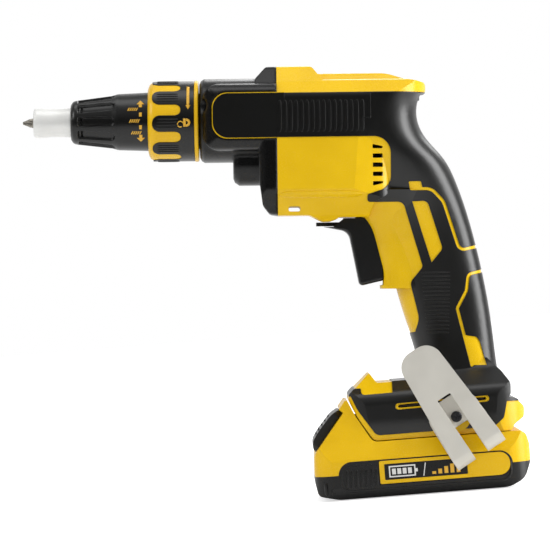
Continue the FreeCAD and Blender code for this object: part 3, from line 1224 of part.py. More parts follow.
def panel_region():
    """Outline, seen from the side, of the lower case's raised side panels."""
    outline = [(PANEL_FRONT, -5.0), (PANEL_BACK, -5.0),
               (PANEL_BACK, PANEL_TOP, 7.0), (PANEL_FRONT, PANEL_TOP, 7.0)]
    return outline


def label_blocks(grow):
    """Side plates of the pack, both sides: square in front, round at the back."""
    outline = [(-21.6, 6.9, 0.8), (47.2, 6.9, 6.0), (47.2, 19.2, 6.0), (-21.6, 19.2, 0.8)]
    blocks = []
    for side in (-1.0, 1.0):
        low, high = sorted((side * (PACK_HALF - LABEL_T + 0.1), side * (PACK_HALF + 0.1)))
        blocks.append(prism(outline, "xz", low, high, -grow))
    return blocks


def button_place(shape):
    """Move a shape from the button's own frame (X up the slope, Z out of it) to the base frame."""
    dx = BUTTON_HIGH[0] - BUTTON_LOW[0]
    dz = BUTTON_HIGH[1] - BUTTON_LOW[1]
    slope = math.degrees(math.atan2(dz, dx))
    moved = shape.copy()
    place = Placement(Vector(BUTTON_LOW[0], 0, BUTTON_LOW[1]), Rotation(Vector(0, 1, 0), -slope))
    moved.Placement = place.multiply(moved.Placement)
    return moved


BUTTON_SPAN = math.hypot(BUTTON_HIGH[0] - BUTTON_LOW[0], BUTTON_HIGH[1] - BUTTON_LOW[1])


def button_outline(first, last, half, grow):
    """The button's plan on the slope: from first to last up the slope, rounded, grown by a gap."""
    low = first - grow
    high = last + grow
    side = half + grow
    return [(low, -side, 3.0), (high, -side, 3.0), (high, side, 3.0), (low, side, 3.0)]


def release_button():
    low = -PACK_WALL - 0.6
    crown = [(BUTTON_FIRST, low), (BUTTON_FIRST, 1.6, 2.0), (4.0, BUTTON_PROUD - 0.6, 6.0),
             (10.0, BUTTON_PROUD, 20.0), (20.7, BUTTON_PROUD - 0.4, 12.0), (BUTTON_LAST, 3.0, 1.0),
             (BUTTON_LAST, MOVE_GAP), (BUTTON_WELL, MOVE_GAP), (BUTTON_WELL, low)]
    plan = prism(button_outline(BUTTON_FIRST, BUTTON_LAST, BUTTON_HALF, 0.0), "xy", -20.0, 20.0)
    face = prism(crown, "xz", -FAR, FAR).common(plan)
    edge = button_outline(BUTTON_FIRST + 1.0, BUTTON_WELL - 1.0, BUTTON_HALF + FLANGE_RISE, 0.0)
    flange = prism(edge, "xy", -PACK_WALL - 2.2, -PACK_WALL - SPLIT_GAP)
    side = BUTTON_HALF - 3.5
    grooves = []
    for i in range(BUTTON_GROOVES):
        x = 6.5 + 14.0 * (i + 0.5) / BUTTON_GROOVES
        grooves.append(box(x - 0.6, x + 0.6, -side, side, BUTTON_PROUD - 1.0, BUTTON_PROUD + 1.0))
    return button_place(face.fuse(flange).cut(grooves))


def release_spring():
    spring = coil(3.6, 0.45, 0.0, SPRING_LENGTH, 4)
    spring.rotate(Vector(0, 0, 0), Vector(0, 1, 0), 90.0)
    spring.translate(Vector(BUTTON_SPAN / 2.0, 0, -PACK_WALL - 2.3))
    return button_place(spring)


def cell_places():
    middle = (CELL_COUNT - 1) / 2.0
    return [(CELL_PITCH * (i - middle) + CELL_SHIFT, CELL_FLOOR + CELL_R) for i in range(CELL_COUNT)]


def battery_cells():
    cells = []
    for i, (x, z) in enumerate(cell_places()):
        body_cell = rod_y(CELL_R, -CELL_LENGTH / 2, CELL_LENGTH / 2 - 0.8, x, z)
        cap = rod_y(3.6, CELL_LENGTH / 2 - 0.9, CELL_LENGTH / 2, x, z)
        cell = body_cell.fuse(cap)
        if i % 2:
            cell = mirror_y(cell)
        cells.append(cell)
    return Part.makeCompound(cells)


def cell_straps():
    places = cell_places()
    straps = []
    half = CELL_LENGTH / 2.0
    for side, pairs in ((-1.0, ((0, 1), (2, 3), (4, 4))), (1.0, ((0, 0), (1, 2), (3, 4)))):
        for a, b in pairs:
            x0 = places[a][0] - 3.0
            x1 = places[b][0] + 3.0
            z = places[a][1]
            low, high = sorted((side * half, side * (half + 0.3)))
            straps.append(box(x0, x1, low, high, z - 3.0, z + 3.0))
    return Part.makeCompound(straps)


def pack_screw_rods(radius, z0, z1):
    return [Part.makeCylinder(radius, z1 - z0, Vector(x, y, z0)) for x, y in PACK_SCREWS]


def pack_cases():
    """Lower and upper case of the pack."""
    skin = pack(0.0)
    hollow = pack(PACK_WALL)
    shell = skin.cut(hollow)
    low_zone = box(-FAR, FAR, -FAR, FAR, -FAR, PACK_SPLIT).fuse(prism(panel_region(), "xz", -FAR, FAR))
    low_zone = low_zone.cut(box(-FAR, FAR, -PACK_HALF + 6.0, PACK_HALF - 6.0, PACK_SPLIT, FAR))
    lower = shell.common(low_zone)
    upper = shell.cut(low_zone)
    cells = [rod_y(CELL_R + SLIP_FIT, -CELL_LENGTH / 2 - 1, CELL_LENGTH / 2 + 1, x, z)
             for x, z in cell_places()]
    cradle = []
    for y in (-20.0, 20.0):
        cradle.append(box(-50.0, 54.0, y - 1.0, y + 1.0, 0.5, CELL_FLOOR + CELL_R * 0.6))
    cradle = union(cradle).cut(cells).common(pack(PACK_WALL / 2))
    posts = union(pack_screw_rods(3.6, 1.0, PACK_SPLIT)).common(pack(PACK_WALL / 2))
    lower = lower.fuse([cradle, posts])
    lower = lower.cut(pack_screw_rods(SCREW_SHANK_R + SLIP_FIT, -1.0, PACK_SPLIT + 1.0))
    lower = lower.cut(pack_screw_rods(SCREW_HEAD_R + SLIP_FIT, -1.0, PACK_SCREW_SEAT))
    lower = lower.cut(label_blocks(SLIP_FIT))
    rails = union([box(RAIL_FRONT, RAIL_REAR, -RAIL_NECK, RAIL_NECK, PACK_DECK - 1.0, RAIL_LOW + 0.1),
                   box(RAIL_FRONT, RAIL_REAR, -RAIL_HALF, RAIL_HALF, RAIL_LOW, RAIL_TOP)])
    bosses = union(pack_screw_rods(3.6, PACK_SPLIT, 45.0)).common(pack(PACK_WALL / 2))
    stems = [Part.makeCylinder(2.6, PACK_DECK - 1.0 - BOARD_TOP, Vector(x, y, BOARD_TOP + 0.1))
             for x in (-22.0, 24.0) for y in (-17.0, 17.0)]
    seat = -PACK_WALL - 2.4 - SPRING_LENGTH
    bridge = button_place(box(BUTTON_SPAN / 2.0 - 5.0, BUTTON_SPAN - 3.0, -60.0, 60.0, seat - 2.0, seat))
    bridge = bridge.common(pack(PACK_WALL / 2)).cut(cells)
    upper = upper.fuse([rails, bosses, bridge] + stems)
    x0, x1, half, low, roof = TERMINAL
    cuts = [box(x0 - 2.0, FAR, -half - 0.8, half + 0.8, low - 0.8, FAR)]
    for y in blade_places():
        cuts.append(box(x0 - 16.5, x0, y - 2.2, y + 2.2, low - 0.8, RAIL_TOP - 0.6))
    cuts += pack_screw_rods(SCREW_SHANK_R, PACK_SPLIT - 1.0, 25.0)
    room = -PACK_WALL - 2.4 - BUTTON_TRAVEL - 0.8
    recess = button_outline(BUTTON_FIRST, BUTTON_LAST, BUTTON_HALF, MOVE_GAP)
    well = button_outline(BUTTON_FIRST, BUTTON_WELL, BUTTON_HALF, MOVE_GAP)
    behind = button_outline(BUTTON_FIRST + 1.0, BUTTON_WELL - 1.0, BUTTON_HALF + FLANGE_RISE, MOVE_GAP)
    cuts.append(button_place(prism(recess, "xy", -BUTTON_TRAVEL - MOVE_GAP, 20.0)))
    cuts.append(button_place(prism(well, "xy", room, 0.0)))
    cuts.append(button_place(prism(behind, "xy", room, -PACK_WALL)))
    upper = upper.cut(cuts)
    return lower, upper


def battery_contacts():
    clips = []
    x0 = TERMINAL[0] - 14.0
    x1 = TERMINAL[0] - 4.0
    floor = TERMINAL[3] - 0.8
    for y in blade_places():
        base = box(x0, x1, y - 1.35, y + 1.35, floor, floor + 0.5)
        left = box(x0, x1, y - 1.35, y - 0.75, floor, 41.6)
        right = box(x0, x1, y + 0.75, y + 1.35, floor, 41.6)
        clips.append(union([base, left, right]))
    return Part.makeCompound(clips)


def battery_board():
    return box(-30.0, 32.0, -24.0, 24.0, BOARD_TOP - BOARD_T, BOARD_TOP)


def battery_screws():
    screws = []
    seat = PACK_SCREW_SEAT
    for head, shank in zip(pack_screw_rods(SCREW_HEAD_R, seat - 2.6, seat),
                           pack_screw_rods(SCREW_SHANK_R, seat - 0.1, 22.0)):
        screws.append(head.fuse(shank))
    return Part.makeCompound(screws)


# Build

skin = envelope(0.0)
under = envelope(RUBBER_DEEP)
proud = envelope(-RUBBER_PROUD)
hollow = envelope(WALL)
region = grip_region()
frame_solids = union(inner_frame()).common(under)
half = skin.cut(region.cut(under)).cut(hollow).fuse(frame_solids).cut(shared_cuts())
grip = region.common(proud).cut(under).cut(foot_channel())
groove = prism([(-8.8, 45.9, 0.6), (37.2, 46.4, 0.6), (37.2, 48.2, 0.6), (-8.8, 47.7, 0.6)],
               "xz", -60.0, -31.0)
half = half.cut(groove)
hook_hole = rod_y(HOOK_SCREW_R, -60.0, -HOOK_HOLE_END, HOOK_SCREW_X, HOOK_SCREW_Z)
hook_boss = rod_y(8.0, -HOOK_SEAT, -FOOT_HALF + 3.0, HOOK_SCREW_X, HOOK_SCREW_Z)
boss_room = rod_y(8.0, -60.0, 0, HOOK_SCREW_X, HOOK_SCREW_Z)
left_housing = half.fuse(hook_boss).cut(hook_hole).cut(screw_rods(SCREW_SHANK_R, -SCREW_BITE - 1.0, 1.0))
left_grip = grip.cut(boss_room)
right_holes = screw_rods(SCREW_SHANK_R + SLIP_FIT, -1.0, SCREW_SEAT + 1.0)
right_heads = screw_rods(SCREW_HEAD_R + SLIP_FIT, SCREW_SEAT, 60.0)
right_hook = mirror_y(half.fuse(hook_boss).cut(hook_hole))
right_housing = right_hook.cut(right_holes + right_heads)
right_grip = mirror_y(grip.cut(boss_room)).cut(right_heads)

save("left_housing", left_housing)
save("right_housing", right_housing)
save("left_grip", left_grip)
save("right_grip", right_grip)
save("housing_screws", housing_screws())

save("driver_bit", barrel(driver_bit()))
save("bit_holder", barrel(bit_holder()))
bit_rear = BIT_TIP_X + BIT_LENGTH
save("holder_magnet", barrel(rod(MAGNET_R, bit_rear + 0.1, bit_rear + MAGNET_L)))
save("depth_locator", barrel(depth_locator()))
save("depth_adjuster", barrel(depth_adjuster()))
save("nose_body", barrel(nose_body()))
save("adjuster_clip", barrel(adjuster_clip()))
save("lock_ring", barrel(lock_ring()))
save("lock_ring_grip", barrel(lock_ring_grip()))
save("ring_retainer", barrel(ring_retainer()))

save("gear_case", barrel(gear_case()))
save("case_screws", barrel(case_screws()))
save("spindle", barrel(spindle()))
bearing_end = SPINDLE_BEARING_X + SPINDLE_BEARING_L
save("spindle_bearing", barrel(tube(SPINDLE_BEARING_R, SPINDLE_R + RUN_FIT, SPINDLE_BEARING_X, bearing_end)))
save("spindle_seal", barrel(tube(SPINDLE_BEARING_R, SPINDLE_R + RUN_FIT,
                                 SPIGOT_FRONT + 0.4, SPINDLE_BEARING_X)))
save("thrust_washer", barrel(tube(SPINDLE_FLANGE_R, SPINDLE_R + SLIP_FIT, CASE_CAVITY_FRONT + 0.1,
                                  SPINDLE_FLANGE_X - 0.1)))
flange_back = SPINDLE_FLANGE_X + SPINDLE_FLANGE_T
save("clutch_spring", barrel(coil(CLUTCH_COIL_R, CLUTCH_WIRE_R, flange_back + 0.1, CLUTCH_SEAT - 0.1, 4)))
save("drive_gear", barrel(drive_gear()))
save("gear_bearing", barrel(bearing(GEAR_BEARING_R, GEAR_JOURNAL_R + RUN_FIT,
                                    PLATE_FRONT + 0.2, CASE_REAR - 0.2)))
save("bearing_plate", barrel(bearing_plate()))

save("motor_shaft", barrel(rod(SHAFT_R, SHAFT_FRONT, SHAFT_REAR, MOTOR_Z)))
save("motor_pinion", barrel(motor_pinion()))
save("rotor_core", barrel(rotor_core()))
save("cooling_fan", barrel(cooling_fan()))
save("front_motor_bearing", barrel(bearing(FRONT_BEARING_R, SHAFT_R + RUN_FIT,
                                           PLATE_FRONT + 0.2, CASE_REAR - 0.2, MOTOR_Z)))
save("rear_motor_bearing", barrel(bearing(REAR_BEARING_R, SHAFT_R + RUN_FIT, REAR_BEARING_X,
                                          REAR_BEARING_X + REAR_BEARING_L, MOTOR_Z)))
save("stator_core", barrel(stator_core()))
save("stator_windings", barrel(stator_windings()))
save("sensor_board", barrel(sensor_board()))

save("trigger", barrel(trigger()))
save("trigger_spring", barrel(coil(STEM_R + 1.5, 0.5, TRIGGER_BACK + 0.1, SWITCH_FRONT - 0.1, 5, STEM_Z)))
save("switch_module", barrel(switch_module()))
save("direction_lever", barrel(direction_lever()))
save("control_module", barrel(module_block(0.0)))
save("motor_leads", barrel(motor_leads()))
save("battery_leads", barrel(battery_leads()))
save("terminal_block", terminal_block())
save("terminal_blades", terminal_blades())

save("belt_hook", belt_hook())
save("belt_hook_screw", belt_hook_screw())

lower_case, upper_case = pack_cases()
save("battery_lower_case", lower_case)
save("battery_upper_case", upper_case)
save("battery_side_plates", Part.makeCompound(label_blocks(0.0)))
save("release_button", release_button())
save("release_spring", release_spring())
save("battery_cells", battery_cells())
save("cell_straps", cell_straps())
save("battery_board", battery_board())
save("battery_contacts", battery_contacts())
save("battery_screws", battery_screws())
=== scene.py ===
# %% [markdown]
# A cordless drywall screwdriver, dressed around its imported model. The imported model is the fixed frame:
# every piece of it is already in place, in metres. This lesson keeps the pieces that are already right,
# replaces those whose surface carries more detail than a plain solid, and gives every one a finish made
# from nodes.

import json
import math

import bmesh
import bpy
import numpy as np
from mathutils import Matrix, Vector


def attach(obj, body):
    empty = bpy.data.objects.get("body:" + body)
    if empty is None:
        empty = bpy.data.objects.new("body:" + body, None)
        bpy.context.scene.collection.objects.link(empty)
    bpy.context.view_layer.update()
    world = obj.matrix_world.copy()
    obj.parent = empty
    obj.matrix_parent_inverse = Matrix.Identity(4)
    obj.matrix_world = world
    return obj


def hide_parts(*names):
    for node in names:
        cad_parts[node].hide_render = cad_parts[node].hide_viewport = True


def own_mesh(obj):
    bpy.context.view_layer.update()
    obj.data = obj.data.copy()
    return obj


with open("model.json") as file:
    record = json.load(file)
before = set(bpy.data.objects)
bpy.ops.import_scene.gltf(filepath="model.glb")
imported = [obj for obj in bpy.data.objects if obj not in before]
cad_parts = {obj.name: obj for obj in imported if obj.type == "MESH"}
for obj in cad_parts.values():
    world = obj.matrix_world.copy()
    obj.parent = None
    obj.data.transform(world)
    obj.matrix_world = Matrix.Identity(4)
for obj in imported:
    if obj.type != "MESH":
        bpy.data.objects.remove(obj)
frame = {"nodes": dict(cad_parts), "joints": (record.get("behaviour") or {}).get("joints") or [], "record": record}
nodes = frame["nodes"]
body_of = {n: b for b, names in frame["record"]["behaviour"]["bodies"].items() for n in names}
slot_of = {p["node"]: p["material_slot"] for p in frame["record"]["subparts"]}
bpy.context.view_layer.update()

# %% [markdown]
# The photograph is a plain side view through a long lens. The battery's base rises by a few degrees to
# the right in it, so the camera is rolled by that much. An orthographic camera would come close, but a
# lens two metres away keeps the little perspective of a real picture. One photo pixel is a little over
# half a millimetre, which sets the width of the view.

# %% The camera
PHOTO_SIDE = 550
PIXEL = 0.533e-3
BASE_PIXEL = (420.0, 490.5)
ROLL = math.radians(4.5)
CAMERA_DISTANCE = 2.2
SENSOR = 36.0

right = Vector((math.cos(ROLL), 0.0, -math.sin(ROLL)))
up = Vector((math.sin(ROLL), 0.0, math.cos(ROLL)))
away = Vector((0.0, 1.0, 0.0))
centre = (right * (PHOTO_SIDE / 2 - BASE_PIXEL[0]) + up * (BASE_PIXEL[1] - PHOTO_SIDE / 2)) * PIXEL
camera_data = bpy.data.cameras.new("side_camera")
camera_data.sensor_width = SENSOR
camera_data.lens = SENSOR * CAMERA_DISTANCE / (PHOTO_SIDE * PIXEL)
camera = bpy.data.objects.new("side_camera", camera_data)
turn = Matrix((right, up, -away)).transposed().to_4x4()
camera.matrix_world = Matrix.Translation(centre - away * CAMERA_DISTANCE) @ turn
bpy.context.scene.collection.objects.link(camera)
bpy.context.scene.camera = camera
print("camera: lens", round(camera_data.lens), "mm, aimed at", [round(c, 4) for c in centre])

# %% [markdown]
# The light is that of a small white studio: a soft box over the tool, a small one from the front left,
# a tall strong one from the right, which draws the long shine down the handle, and one behind. Point
# lamps would be simpler, but they give hard shadows and small hot spots. The floor is a pale sheet just
# under the base, which ends a little in front of the tool, so that upright black faces don't mirror it.
# The world is white to the camera. In reflections it is a room with a bright ceiling and a bright back
# wall, but a dark front, so black faces stay black and only their edges shine. It lights the object at
# a lower level, so the yellow keeps its colour.

# %% The studio
FLOOR_SIZE = 12.0
FLOOR_FRONT = -0.7
FLOOR_DROP = 0.0004
FLOOR_GLOW = 0.62
FLOOR_GREY = 0.86
FLOOR_ROUGHNESS = 0.9
FLOOR_SHINE = 0.1
WORLD_LIGHT = 0.68
WALL_LIGHT = 0.015
CEILING_LIGHT = 0.45
BACK_LIGHT = 0.8
ROOM = (("Z", -0.1, 0.9, CEILING_LIGHT), ("Y", 0.2, 0.9, BACK_LIGHT))
BOXES = (
    ("top_box", (-0.10, -0.10, 1.00), (0.9, 0.35), 1.9),
    ("front_box", (-1.25, -0.45, 0.95), (0.5, 0.5), 4.0),
    ("right_box", (1.15, -0.12, 0.42), (0.6, 1.2), 18.0),
    ("back_box", (0.35, 1.10, 0.85), (0.9, 0.6), 5.0),
)
AIM = Vector((-0.04, 0.0, 0.12))

for name, place, size, power in BOXES:
    lamp = bpy.data.lights.new(name, "AREA")
    lamp.shape = "RECTANGLE"
    lamp.size, lamp.size_y = size
    lamp.energy = power
    box_lamp = bpy.data.objects.new(name, lamp)
    box_lamp.location = place
    box_lamp.rotation_euler = (AIM - Vector(place)).to_track_quat("-Z", "Y").to_euler()
    bpy.context.scene.collection.objects.link(box_lamp)

world = bpy.data.worlds.new("white_studio")
bpy.context.scene.world = world
world.use_nodes = True
tree = world.node_tree
backdrop = tree.nodes["Background"]
backdrop.inputs["Color"].default_value = (1.0, 1.0, 1.0, 1.0)
path = tree.nodes.new("ShaderNodeLightPath")
place = tree.nodes.new("ShaderNodeTexCoord")
parts = tree.nodes.new("ShaderNodeSeparateXYZ")
tree.links.new(place.outputs["Generated"], parts.inputs[0])
room = tree.nodes.new("ShaderNodeMath")
room.operation = "MAXIMUM"
for i, (direction, first, last, light) in enumerate(ROOM):
    side = tree.nodes.new("ShaderNodeMapRange")
    side.interpolation_type = "SMOOTHSTEP"
    side.inputs["From Min"].default_value = first
    side.inputs["From Max"].default_value = last
    side.inputs["To Min"].default_value = WALL_LIGHT
    side.inputs["To Max"].default_value = light
    tree.links.new(parts.outputs[direction], side.inputs["Value"])
    tree.links.new(side.outputs[0], room.inputs[i])
mirrored = tree.nodes.new("ShaderNodeMath")
mirrored.operation = "MAXIMUM"
tree.links.new(path.outputs["Is Glossy Ray"], mirrored.inputs[0])
tree.links.new(path.outputs["Is Transmission Ray"], mirrored.inputs[1])
lit = tree.nodes.new("ShaderNodeMix")
lit.inputs["A"].default_value = WORLD_LIGHT
tree.links.new(room.outputs[0], lit.inputs["B"])
tree.links.new(mirrored.outputs[0], lit.inputs["Factor"])
seen = tree.nodes.new("ShaderNodeMix")
seen.inputs["B"].default_value = 1.0
tree.links.new(lit.outputs["Result"], seen.inputs["A"])
tree.links.new(path.outputs["Is Camera Ray"], seen.inputs["Factor"])
tree.links.new(seen.outputs["Result"], backdrop.inputs["Strength"])

floor_mesh = bpy.data.meshes.new("floor")
half = FLOOR_SIZE / 2
corners = ((-half, FLOOR_FRONT), (half, FLOOR_FRONT), (half, half), (-half, half))
floor_mesh.from_pydata([(x, y, -FLOOR_DROP) for x, y in corners], [], [(0, 1, 2, 3)])
floor = bpy.data.objects.new("floor", floor_mesh)
bpy.context.scene.collection.objects.link(floor)
paper = bpy.data.materials.new("pale_floor")
paper.use_nodes = True
sheet = paper.node_tree.nodes["Principled BSDF"]
sheet.inputs["Base Color"].default_value = (FLOOR_GREY, FLOOR_GREY, FLOOR_GREY, 1.0)
sheet.inputs["Roughness"].default_value = FLOOR_ROUGHNESS
sheet.inputs["Specular IOR Level"].default_value = FLOOR_SHINE
sheet.inputs["Emission Color"].default_value = (1.0, 1.0, 1.0, 1.0)
ray = paper.node_tree.nodes.new("ShaderNodeLightPath")
glow = paper.node_tree.nodes.new("ShaderNodeMath")
glow.operation = "MULTIPLY"
glow.inputs[1].default_value = FLOOR_GLOW
paper.node_tree.links.new(ray.outputs["Is Camera Ray"], glow.inputs[0])
paper.node_tree.links.new(glow.outputs[0], sheet.inputs["Emission Strength"])
floor_mesh.materials.append(paper)
bpy.context.scene.view_settings.view_transform = "Standard"
print("studio:", len(BOXES), "soft boxes")

# %% [markdown]
# Finishes. Moulded plastic and rubber are never one flat colour: the mould gives them a fine grain, and
# the colour and the gloss drift a little over the surface. A painted image would need a map of its own
# on every piece. Noise on Object coordinates needs none, so one function makes them all from two
# colours, a range of gloss and a grain. A bevel of the normal rounds the edges for the light. The gear
# case, whose edges are the softest, has the widest one.

# %% Moulded finishes
EVEN = (1.0, 1.0, 1.0)
NOISE_LOW = 0.3
NOISE_HIGH = 0.7
DRIFT_SCALE = 55.0
GRAIN_DETAIL = 3.0
GRAIN_STRENGTH = 0.35
EDGE_SAMPLES = 6


def linear(red, green, blue):
    """A colour given in screen values, 0 to 255, as the shader's linear values: in proportion where it is
    dark, and by a power of 2.4 above."""
    screen = np.array((red, green, blue)) / 255.0
    values = np.where(screen <= 0.04045, screen / 12.92, ((screen + 0.055) / 1.055) ** 2.4)
    return (*values.tolist(), 1.0)


def noise(tree, scale, detail=2.0, stretch=EVEN):
    """Noise on Object coordinates: scale is in bumps per metre, and a stretch below 1 draws the pattern out
    along that axis."""
    place = tree.nodes.new("ShaderNodeTexCoord")
    mapping = tree.nodes.new("ShaderNodeMapping")
    mapping.inputs["Scale"].default_value = stretch
    tree.links.new(place.outputs["Object"], mapping.inputs["Vector"])
    pattern = tree.nodes.new("ShaderNodeTexNoise")
    pattern.inputs["Scale"].default_value = scale
    pattern.inputs["Detail"].default_value = detail
    tree.links.new(mapping.outputs[0], pattern.inputs["Vector"])
    return pattern.outputs["Fac"]


def spread(tree, value, low, high):
    """The common part of a noise value spread evenly from low to high."""
    reach = tree.nodes.new("ShaderNodeMapRange")
    reach.inputs["From Min"].default_value = NOISE_LOW
    reach.inputs["From Max"].default_value = NOISE_HIGH
    reach.inputs["To Min"].default_value = low
    reach.inputs["To Max"].default_value = high
    tree.links.new(value, reach.inputs["Value"])
    return reach.outputs["Result"]


def between(tree, value, first, second):
    """A colour that drifts from the first to the second with a noise value."""
    ramp = tree.nodes.new("ShaderNodeValToRGB")
    ramp.color_ramp.elements[0].position = NOISE_LOW
    ramp.color_ramp.elements[1].position = NOISE_HIGH
    ramp.color_ramp.elements[0].color = first
    ramp.color_ramp.elements[1].color = second
    tree.links.new(value, ramp.inputs["Fac"])
    return ramp.outputs["Color"]


def moulded(name, dark, light, gloss, grain, depth, edge=0.0004, stretch=EVEN, metal=0.0, shine=0.5):
    """A moulded or drawn surface: two colours, a range of roughness, a grain in bumps per metre, its depth
    and the width of the rounded edge in metres."""
    finish = bpy.data.materials.new(name)
    finish.use_nodes = True
    tree = finish.node_tree
    shader = tree.nodes["Principled BSDF"]
    shader.inputs["Metallic"].default_value = metal
    shader.inputs["Specular IOR Level"].default_value = shine
    drift = noise(tree, DRIFT_SCALE)
    tree.links.new(between(tree, drift, linear(*dark), linear(*light)), shader.inputs["Base Color"])
    fine = noise(tree, grain, GRAIN_DETAIL, stretch)
    tree.links.new(spread(tree, fine, *gloss), shader.inputs["Roughness"])
    round_edge = tree.nodes.new("ShaderNodeBevel")
    round_edge.samples = EDGE_SAMPLES
    round_edge.inputs["Radius"].default_value = edge
    bump = tree.nodes.new("ShaderNodeBump")
    bump.inputs["Strength"].default_value = GRAIN_STRENGTH
    bump.inputs["Distance"].default_value = depth
    tree.links.new(fine, bump.inputs["Height"])
    tree.links.new(round_edge.outputs["Normal"], bump.inputs["Normal"])
    tree.links.new(bump.outputs["Normal"], shader.inputs["Normal"])
    return finish


FINISHES = {
    "housing_yellow": moulded("yellow_shell", (225, 181, 5), (232, 189, 9), (0.22, 0.30), 2600.0,
                              0.4e-5, shine=0.3),
    "pack_yellow": moulded("yellow_pack", (228, 181, 4), (235, 189, 8), (0.22, 0.30), 2600.0, 0.4e-5,
                           shine=0.3),
    "ring_yellow": moulded("yellow_ring", (228, 179, 6), (235, 188, 12), (0.24, 0.32), 2600.0, 0.4e-5,
                           shine=0.35),
    "grip_black": moulded("black_rubber", (7, 7, 6), (10, 10, 9), (0.28, 0.36), 3400.0, 0.8e-5, 0.0002,
                          shine=0.55),
    "case_black": moulded("black_case", (4, 4, 4), (7, 7, 7), (0.24, 0.32), 3000.0, 0.6e-5, 0.0022,
                          shine=0.4),
    "adjuster_black": moulded("black_nose", (8, 8, 7), (12, 12, 11), (0.26, 0.34), 3000.0, 0.6e-5,
                              shine=0.5),
    "trigger_black": moulded("black_trigger", (13, 13, 13), (17, 17, 17), (0.28, 0.36), 3000.0, 0.6e-5),
    "pack_black": moulded("black_pack", (12, 12, 11), (16, 16, 15), (0.26, 0.34), 3000.0, 0.6e-5,
                          shine=0.45),
    "plate_black": moulded("black_plate", (6, 6, 6), (9, 9, 9), (0.26, 0.34), 1500.0, 0.4e-5,
                           shine=0.4),
    "fan_grey": moulded("grey_fan", (80, 80, 82), (92, 92, 94), (0.4, 0.5), 2400.0, 2.0e-5),
    "module_grey": moulded("grey_module", (62, 63, 66), (70, 71, 74), (0.45, 0.55), 2400.0, 2.0e-5),
    "board_green": moulded("green_board", (20, 92, 52), (26, 104, 60), (0.35, 0.45), 900.0, 1.0e-5),
    "lead_red": moulded("red_lead", (150, 30, 26), (168, 38, 32), (0.4, 0.5), 2400.0, 1.0e-5),
    "seal_rubber": moulded("seal_rubber", (36, 36, 36), (44, 44, 43), (0.5, 0.6), 2400.0, 2.0e-5),
    "cell_wrap": moulded("cell_wrap", (46, 120, 150), (54, 132, 162), (0.3, 0.4), 900.0, 1.0e-5),
}
print("moulded finishes:", len(FINISHES))

# %% [markdown]
# The metals differ in how they were worked. Turned pieces have fine rings round the barrel, the belt
# hook is drawn sheet with a long grain, and the bearings are ground bright. An anisotropic shader could
# show this too, but it needs a tangent on each piece. The same noise as before, drawn out along one
# direction, needs none.

# %% Metal finishes
ALONG_X = (0.05, 1.0, 1.0)
ALONG_Z = (1.0, 1.0, 0.06)
ROUND_X = (1.0, 0.04, 0.04)
FINISHES.update({
    "bit_steel": moulded("bit_steel", (128, 124, 116), (158, 153, 143), (0.26, 0.38), 2500.0, 0.8e-5,
                         0.0002, ALONG_X, 0.8),
    "locator_aluminium": moulded("turned_aluminium", (228, 228, 225), (238, 238, 235), (0.38, 0.48),
                                 5000.0, 0.5e-5, 0.0003, ROUND_X, 0.25),
    "hook_steel": moulded("hook_steel", (202, 199, 190), (212, 209, 200), (0.36, 0.46), 1800.0, 0.5e-5,
                          0.0003, ALONG_Z, 0.3),
    "steel": moulded("machined_steel", (168, 168, 170), (186, 186, 188), (0.25, 0.38), 3000.0, 1.0e-5,
                     0.0002, ROUND_X, 1.0),
    "screw_steel": moulded("blackened_screw", (52, 52, 54), (66, 66, 68), (0.30, 0.42), 2600.0, 1.0e-5,
                           0.0002, EVEN, 1.0),
    "bearing_steel": moulded("bearing_steel", (206, 206, 208), (220, 220, 222), (0.12, 0.2), 3000.0,
                             0.5e-5, 0.0002, ROUND_X, 1.0),
    "plate_aluminium": moulded("cast_aluminium", (186, 188, 190), (200, 202, 204), (0.4, 0.55), 1200.0,
                               4.0e-5, 0.0003, EVEN, 1.0),
    "bronze": moulded("sintered_bronze", (176, 138, 82), (192, 152, 94), (0.35, 0.5), 3000.0, 3.0e-5,
                      0.0002, EVEN, 1.0),
    "copper": moulded("copper", (196, 116, 68), (210, 130, 82), (0.25, 0.4), 2600.0, 1.0e-5, 0.0002,
                      ALONG_X, 1.0),
    "strap_nickel": moulded("nickel_strap", (196, 192, 182), (208, 204, 194), (0.25, 0.35), 1800.0,
                            1.0e-5, 0.0002, ALONG_X, 1.0),
})
print("finishes:", len(FINISHES))

# %% [markdown]
# Most pieces of the frame have the right shape already. A few need a copy of their own, which for the
# hook is cut later, and a imported mesh is loose triangles, which come apart when they are cut. A dressed
# copy joins the triangles, keeps the real creases sharp and lets the large faces rule the shading.

# %% Dressed copies of the frame's pieces
MERGE = 2.0e-6
CREASE = math.radians(28.0)


def own(piece, node):
    """A new piece that stands for a node, on its body, with the node itself hidden."""
    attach(piece, body_of[node])
    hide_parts(node)
    return piece


def dressed(node):
    """A joined copy of a node's mesh: points closer than the merge distance become one."""
    mesh = nodes[node].data.copy()
    mesh.name = node + "_skin"
    joined = bmesh.new()
    joined.from_mesh(mesh)
    bmesh.ops.remove_doubles(joined, verts=joined.verts, dist=MERGE)
    bmesh.ops.dissolve_degenerate(joined, edges=joined.edges, dist=MERGE)
    joined.to_mesh(mesh)
    joined.free()
    if "custom_normal" in mesh.attributes:
        mesh.attributes.remove(mesh.attributes["custom_normal"])
    mesh.shade_smooth()
    mesh.set_sharp_from_angle(angle=CREASE)
    mesh.materials.clear()
    mesh.materials.append(FINISHES[slot_of[node]])
    piece = bpy.data.objects.new(node + "_skin", mesh)
    bpy.context.scene.collection.objects.link(piece)
    weigh = piece.modifiers.new("weigh", "WEIGHTED_NORMAL")
    weigh.keep_sharp = True
    return own(piece, node)

